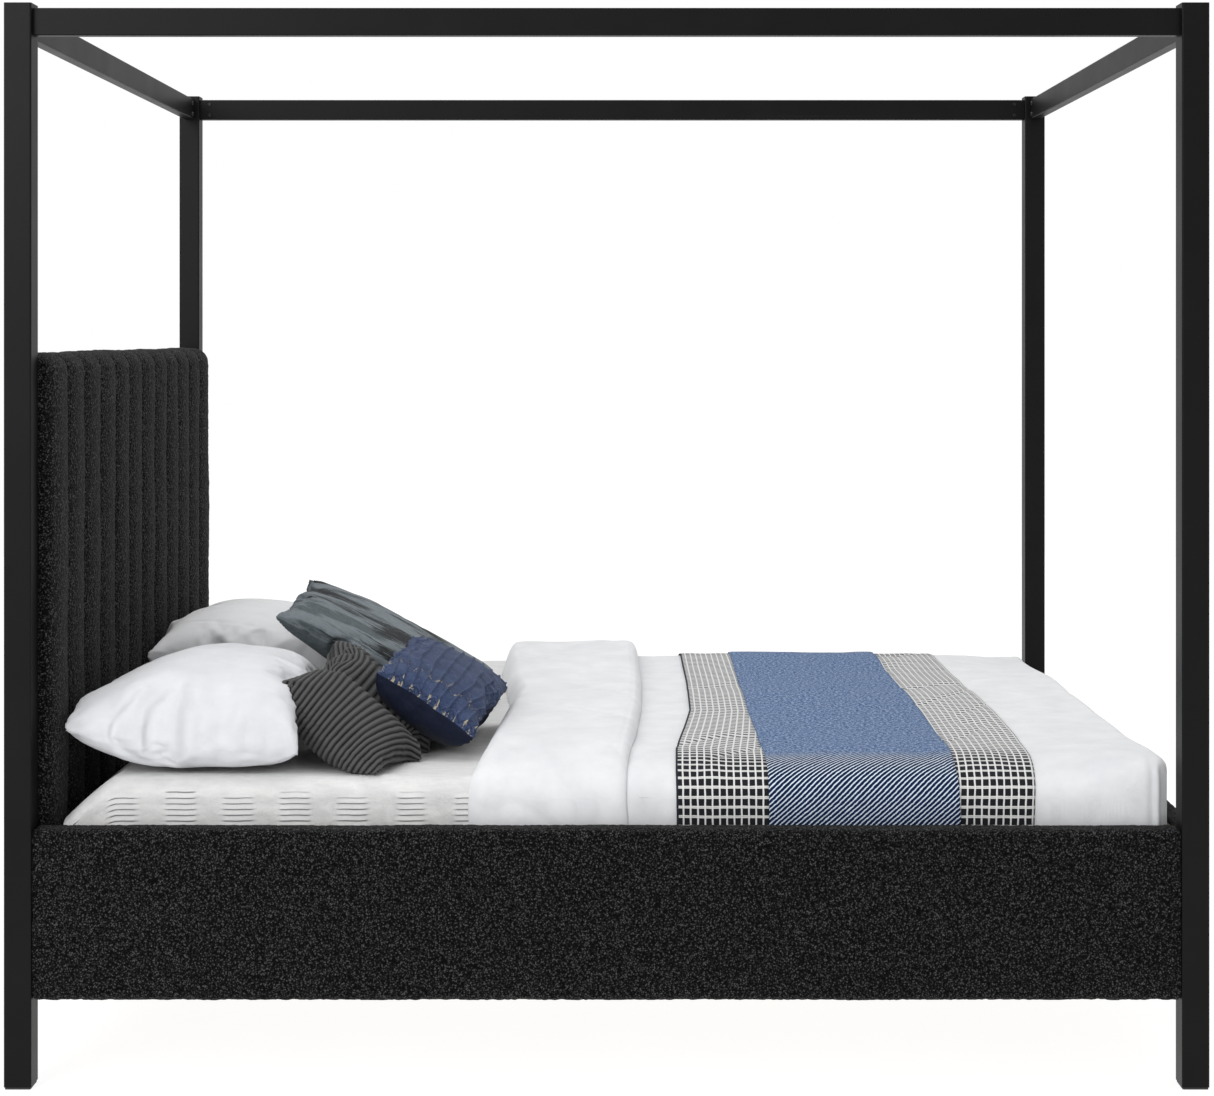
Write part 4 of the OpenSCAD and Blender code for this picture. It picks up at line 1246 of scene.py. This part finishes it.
def finish_cushion(ob, corners, up, down, pull, node, mat, shape, relief, others):
    """Fits an inflated cushion to its four corners and adds its surface relief.

    corners: head near, head far, foot near, foot far."""
    me = ob.data
    p = coords(me)
    fp = read_vectors(me.attributes["flat_place"].data, "vector")
    p -= (p.max(0) + p.min(0)) / 2
    tip = np.argmax(fp[:, 0] + fp[:, 1] - 9 * (np.abs(fp[:, 2]) > 0.5))
    u, v = p[:, 0] / abs(p[tip, 0]), p[:, 1] / abs(p[tip, 1])
    eu, ev = rim_line(u, v, fp[:, 0]), rim_line(v, u, fp[:, 1])
    u = u / eu(v) * (1 - pull * (1 - np.clip(v, -1, 1) ** 2))
    v = v / ev(u) * (1 - pull * (1 - np.clip(u, -1, 1) ** 2))
    w = p[:, 2] / np.abs(p[:, 2]).max()
    w = np.sign(w) * np.abs(w) ** 0.72
    if shape:
        u, v, w = shape(u, v, w)
    hn, hf, fn, ff = [np.array(c) for c in corners]
    n = np.cross(ff - hn, hf - fn)
    n /= np.linalg.norm(n)
    u, v = u[:, None], v[:, None]
    p = hn * (1 - u) * (1 - v) + hf * (1 - u) * (1 + v) + fn * (1 + u) * (1 - v) + ff * (1 + u) * (1 + v)
    p = p / 4
    p += n * np.where(w > 0, w * up, w * down)[:, None]
    low = bed_floor(p[:, 0], p[:, 1])
    h = p[:, 2] - low
    soft = 0.010
    p[:, 2] = low + np.where(h > soft, h, soft * np.exp(np.clip((h - soft) / soft, -6, 0)))
    p[:, 0] = np.maximum(p[:, 0], HEAD_X)
    if others:
        p = keep_clear(me, p, others)
    set_coords(me, p)
    set_uv(me, fp[:, :2])
    p = p + read_vectors(me.vertices, "normal") * relief(fp)[:, None]
    set_coords(me, p)
    me.materials.clear()
    me.materials.append(mat)
    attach(ob, node)
    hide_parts(node)


def puckers(fp, l, w, amount, size=0.03, reach=0.035, seed=0):
    """Small gathers along the seam and pleats running out of the corners."""
    ex, ey = l / 2 - np.abs(fp[:, 0]), w / 2 - np.abs(fp[:, 1])
    edge = np.minimum(ex, ey)
    along = np.where(ex < ey, fp[:, 1], fp[:, 0])
    q = np.c_[along, fp[:, 2] * 0.2 + (ex < ey) * 3.0, edge * 0.25]
    gather = amount * vnoise(q, size, seed) * np.exp(-edge / reach) * smooth(edge / 0.004)
    r = np.hypot(ex, ey)
    ang = np.arctan2(ey, ex)
    which = np.sign(fp[:, 0]) * 2 + np.sign(fp[:, 1])
    fan = vnoise(np.c_[ang * 0.9, which * 3.1, r * 0.6 + fp[:, 2]], 0.17, seed + 5)
    pleat = 1.9 * amount * (np.abs(fan) ** 0.7 * np.sign(fan)) * np.exp(-r / (reach * 2.4)) * smooth(r / 0.02)
    return gather + pleat


def seam_relief(fp, l, w, depth=0.0016):
    """A sewn seam just inside the rim, on both panels."""
    edge = np.minimum(l / 2 - np.abs(fp[:, 0]), w / 2 - np.abs(fp[:, 1]))
    return -depth * np.exp(-((edge - 0.007) / 0.0035) ** 2) * (np.abs(fp[:, 2]) > 0.5)


def soft_piece(node, l, w, nu, nv, puff, seed, levels):
    ob = inflate(node + "_soft", l, w, nu, nv, puff, seed)
    refine(ob, levels)
    return ob


def hollow(q):
    """1 in the middle of an edge and 0 at its two ends."""
    return 1 - np.clip(q, -1, 1) ** 2


def ribbed_cushion():
    def chopped(u, v, w):
        dent = 0.42 * np.exp(-((v + 0.08 - 0.10 * u) / 0.16) ** 2) * smooth((1 - np.abs(u)) / 0.25 + 0.4)
        u = np.where(u > 0, u * (1 + 0.15 * hollow(v)), u)
        v = np.where(v < 0, v * (1 + 0.17 * hollow(u)), v)
        w = np.where(w > 0, w * (1 - dent), w) - 0.24 * hollow(u) * smooth(-v)
        return u, v, w

    def ribs(f):
        k = (f[:, 0] / RIB) % 1.0
        edge = np.minimum(0.15 - np.abs(f[:, 0]), 0.225 - np.abs(f[:, 1]))
        wob = puckers(f, 0.30, 0.45, 0.0022, 0.03, 0.03, 41)
        return 0.0040 * (np.abs(np.cos(math.pi * k)) ** 0.8 - 0.55) * smooth(edge / 0.008 + 0.25) + wob

    ob = soft_piece("ribbed_cushion", 0.30, 0.45, 34, 44, 0.04, 4, 2)
    corners = ((-0.618, -0.652, 0.708), (-0.566, -0.250, 0.728),
               (-0.426, -0.742, 0.556), (-0.388, -0.360, 0.575))
    finish_cushion(ob, corners, 0.075, 0.072, 0.10, "ribbed_cushion", corduroy(),
                   chopped, ribs, ())
    return ob


def blue_cushion(others):
    def tucks(f):
        bend = 0.0022 * vnoise(f, 0.09, 52)
        k = ((f[:, 0] + bend) / TUCK + 0.5) % 1.0 - 0.5
        edge = np.minimum(0.145 - np.abs(f[:, 0]), 0.215 - np.abs(f[:, 1]))
        tuck = 0.0046 * np.exp(-(k * TUCK / 0.0021) ** 2) * (f[:, 2] > 0.5) * smooth(edge / 0.008)
        return tuck + seam_relief(f, 0.29, 0.43) + puckers(f, 0.29, 0.43, 0.0022, 0.025, 0.028, 51)

    ob = soft_piece("blue_cushion", 0.29, 0.43, 32, 42, 0.04, 5, 2)
    corners = ((-0.447, -0.562, 0.713), (-0.420, -0.160, 0.722),
               (-0.258, -0.600, 0.598), (-0.214, -0.185, 0.624))
    finish_cushion(ob, corners, 0.052, 0.088, 0.08, "blue_cushion", pintuck_blue(),
                   None, tucks, others)
    return ob


def printed_cushion(others):
    def seams(f):
        return seam_relief(f, 0.48, 0.46) + puckers(f, 0.48, 0.46, 0.0030, 0.025, 0.03, 31)

    ob = soft_piece("printed_cushion", 0.48, 0.46, 44, 42, 0.04, 3, 1)
    corners = ((-0.687, -0.250, 0.784), (-0.676, 0.150, 0.812),
               (-0.281, -0.250, 0.556), (-0.263, 0.150, 0.606))
    finish_cushion(ob, corners, 0.052, 0.052, 0.09, "printed_cushion", print_velvet(),
                   None, seams, others)
    return ob


def sleep_relief(seed, amount):
    """Seam, puckers and soft creases of a bed pillow."""
    def relief(f):
        turned = f[:, :2] @ np.array([[0.9, 0.44], [-0.44, 0.9]])
        q = np.c_[turned, f[:, 2] * 0.3]
        long = np.c_[f[:, 0], f[:, 1] * 4.0, f[:, 2] * 0.3]
        soft = -0.0007 * ridge(q * [1, 0.4, 1], 0.08, seed, 4.0) + 0.0009 * fbm(q, 0.05, seed + 3, 2)
        soft -= 0.0009 * ridge(long, 0.16, seed + 7, 6.0)
        line = -0.0014 * np.exp(-((f[:, 0] * 0.12 + f[:, 1] + 0.262) / 0.006) ** 2) * (f[:, 2] > 0.5)
        gathers = puckers(f, 0.52, 0.74, 0.0030, 0.024, 0.040, seed)
        return seam_relief(f, 0.52, 0.74) + gathers + amount * soft + line
    return relief


def full_near_end(head_slope, round_off):
    """A bed pillow's shape: fuller at its near end, sloping down towards the headboard."""
    def shape(u, v, w):
        k = np.clip(-v, -1, 1)
        waist = 1 - 0.03 * hollow(v) * (u > 0)
        low_head = 1 - head_slope * smooth((-u - 0.05) / 0.8) * (w > 0)
        power = 1 - 0.42 * smooth(u / 0.7) * smooth(0.6 - v)
        steep = np.where((w > 0) & (u > 0), np.clip(w, 0, 1) ** power, w)
        blunt = 1 - round_off * smooth((-u - 0.62) / 0.38) * smooth((-v - 0.62) / 0.38)
        return u * waist * blunt, v * blunt, steep * (1 + 0.16 * k) * low_head
    return shape


def pillow_near(others):
    ob = soft_piece("pillow_near", 0.52, 0.74, 46, 64, 0.05, 1, 1)
    corners = ((-1.012, -0.766, 0.642), (-0.955, -0.170, 0.636),
               (-0.572, -0.764, 0.600), (-0.592, -0.150, 0.640))
    finish_cushion(ob, corners, 0.122, 0.070, 0.03, "pillow_near", PILLOW,
                   full_near_end(0.26, 0.05), sleep_relief(11, 1.0), others)
    return ob


def pillow_far(others):
    ob = soft_piece("pillow_far", 0.52, 0.74, 46, 64, 0.05, 2, 1)
    corners = ((-1.000, -0.036, 0.672), (-0.975, 0.600, 0.665),
               (-0.575, -0.036, 0.630), (-0.585, 0.600, 0.615))
    # the far pillow takes the lighter copy of the pillow cloth, painted light against its shade
    finish_cushion(ob, corners, 0.108, 0.080, 0.03, "pillow_far", PILLOW_PAINTED_LIGHTER,
                   full_near_end(0.08, 0.0), sleep_relief(23, 0.4), others)


ribbed = ribbed_cushion()
blue = blue_cushion([ribbed])
printed = printed_cushion([ribbed, blue])
near = pillow_near([ribbed, printed])
pillow_far([printed, near])


# ---------------- stage, camera, light
def studio_floor():
    corners = [(-9, -9, 0), (9, -9, 0), (9, 9, 0), (-9, 9, 0)]
    ob = new_mesh("floor", corners, [(0, 1, 2, 3)], flat=True)
    s = Shader("studio_floor", rough=0.9)
    s.put("Base Color", s.ramp(s.noise(3), (0.3, grey(0.15)), (0.8, grey(0.17))))
    s.put("Emission Color", (1, 1, 1, 1))
    s.put("Emission Strength", 0.90)
    ob.data.materials.append(s.mat)


def camera():
    """Looks level along +y from the bed's near side, as the photo does."""
    cam = bpy.data.cameras.new("camera")
    cam.lens, cam.sensor_width = 67.0, 36.0
    cam.shift_x, cam.shift_y = -0.0157, -0.1755
    ob = bpy.data.objects.new("camera", cam)
    ob.location = (0.0352, -4.9205, 1.3668)
    ob.rotation_euler = (math.radians(90), 0, 0)
    bpy.context.scene.collection.objects.link(ob)
    bpy.context.scene.camera = ob


def white_world():
    """White to the camera, a little dimmer as a light."""
    world = bpy.data.worlds.new("world")
    bpy.context.scene.world = world
    world.use_nodes = True
    tree = world.node_tree
    back = tree.nodes["Background"]
    path = tree.nodes.new("ShaderNodeLightPath")
    level = tree.nodes.new("ShaderNodeMapRange")
    level.inputs["To Min"].default_value = 0.78
    level.inputs["To Max"].default_value = 1.0
    tree.links.new(path.outputs["Is Camera Ray"], level.inputs["Value"])
    back.inputs[0].default_value = (1, 1, 1, 1)
    tree.links.new(level.outputs[0], back.inputs[1])


def area_light(name, loc, target, size, power):
    light = bpy.data.lights.new(name, "AREA")
    light.shape = "RECTANGLE"
    light.size, light.size_y = size
    light.energy = power
    ob = bpy.data.objects.new(name, light)
    ob.location = loc
    d = np.array(target, float) - np.array(loc, float)
    ob.rotation_euler = Vector(d).to_track_quat("-Z", "Y").to_euler()
    bpy.context.scene.collection.objects.link(ob)


studio_floor()
camera()
white_world()
area_light("key", (-3.0, -4.6, 3.0), (-0.2, 0, 0.9), (2.6, 2.6), 120)
area_light("top", (-0.6, 0.2, 4.2), (0, 0, 0.5), (3.0, 3.0), 60)
bpy.context.scene.view_settings.view_transform = "Standard"
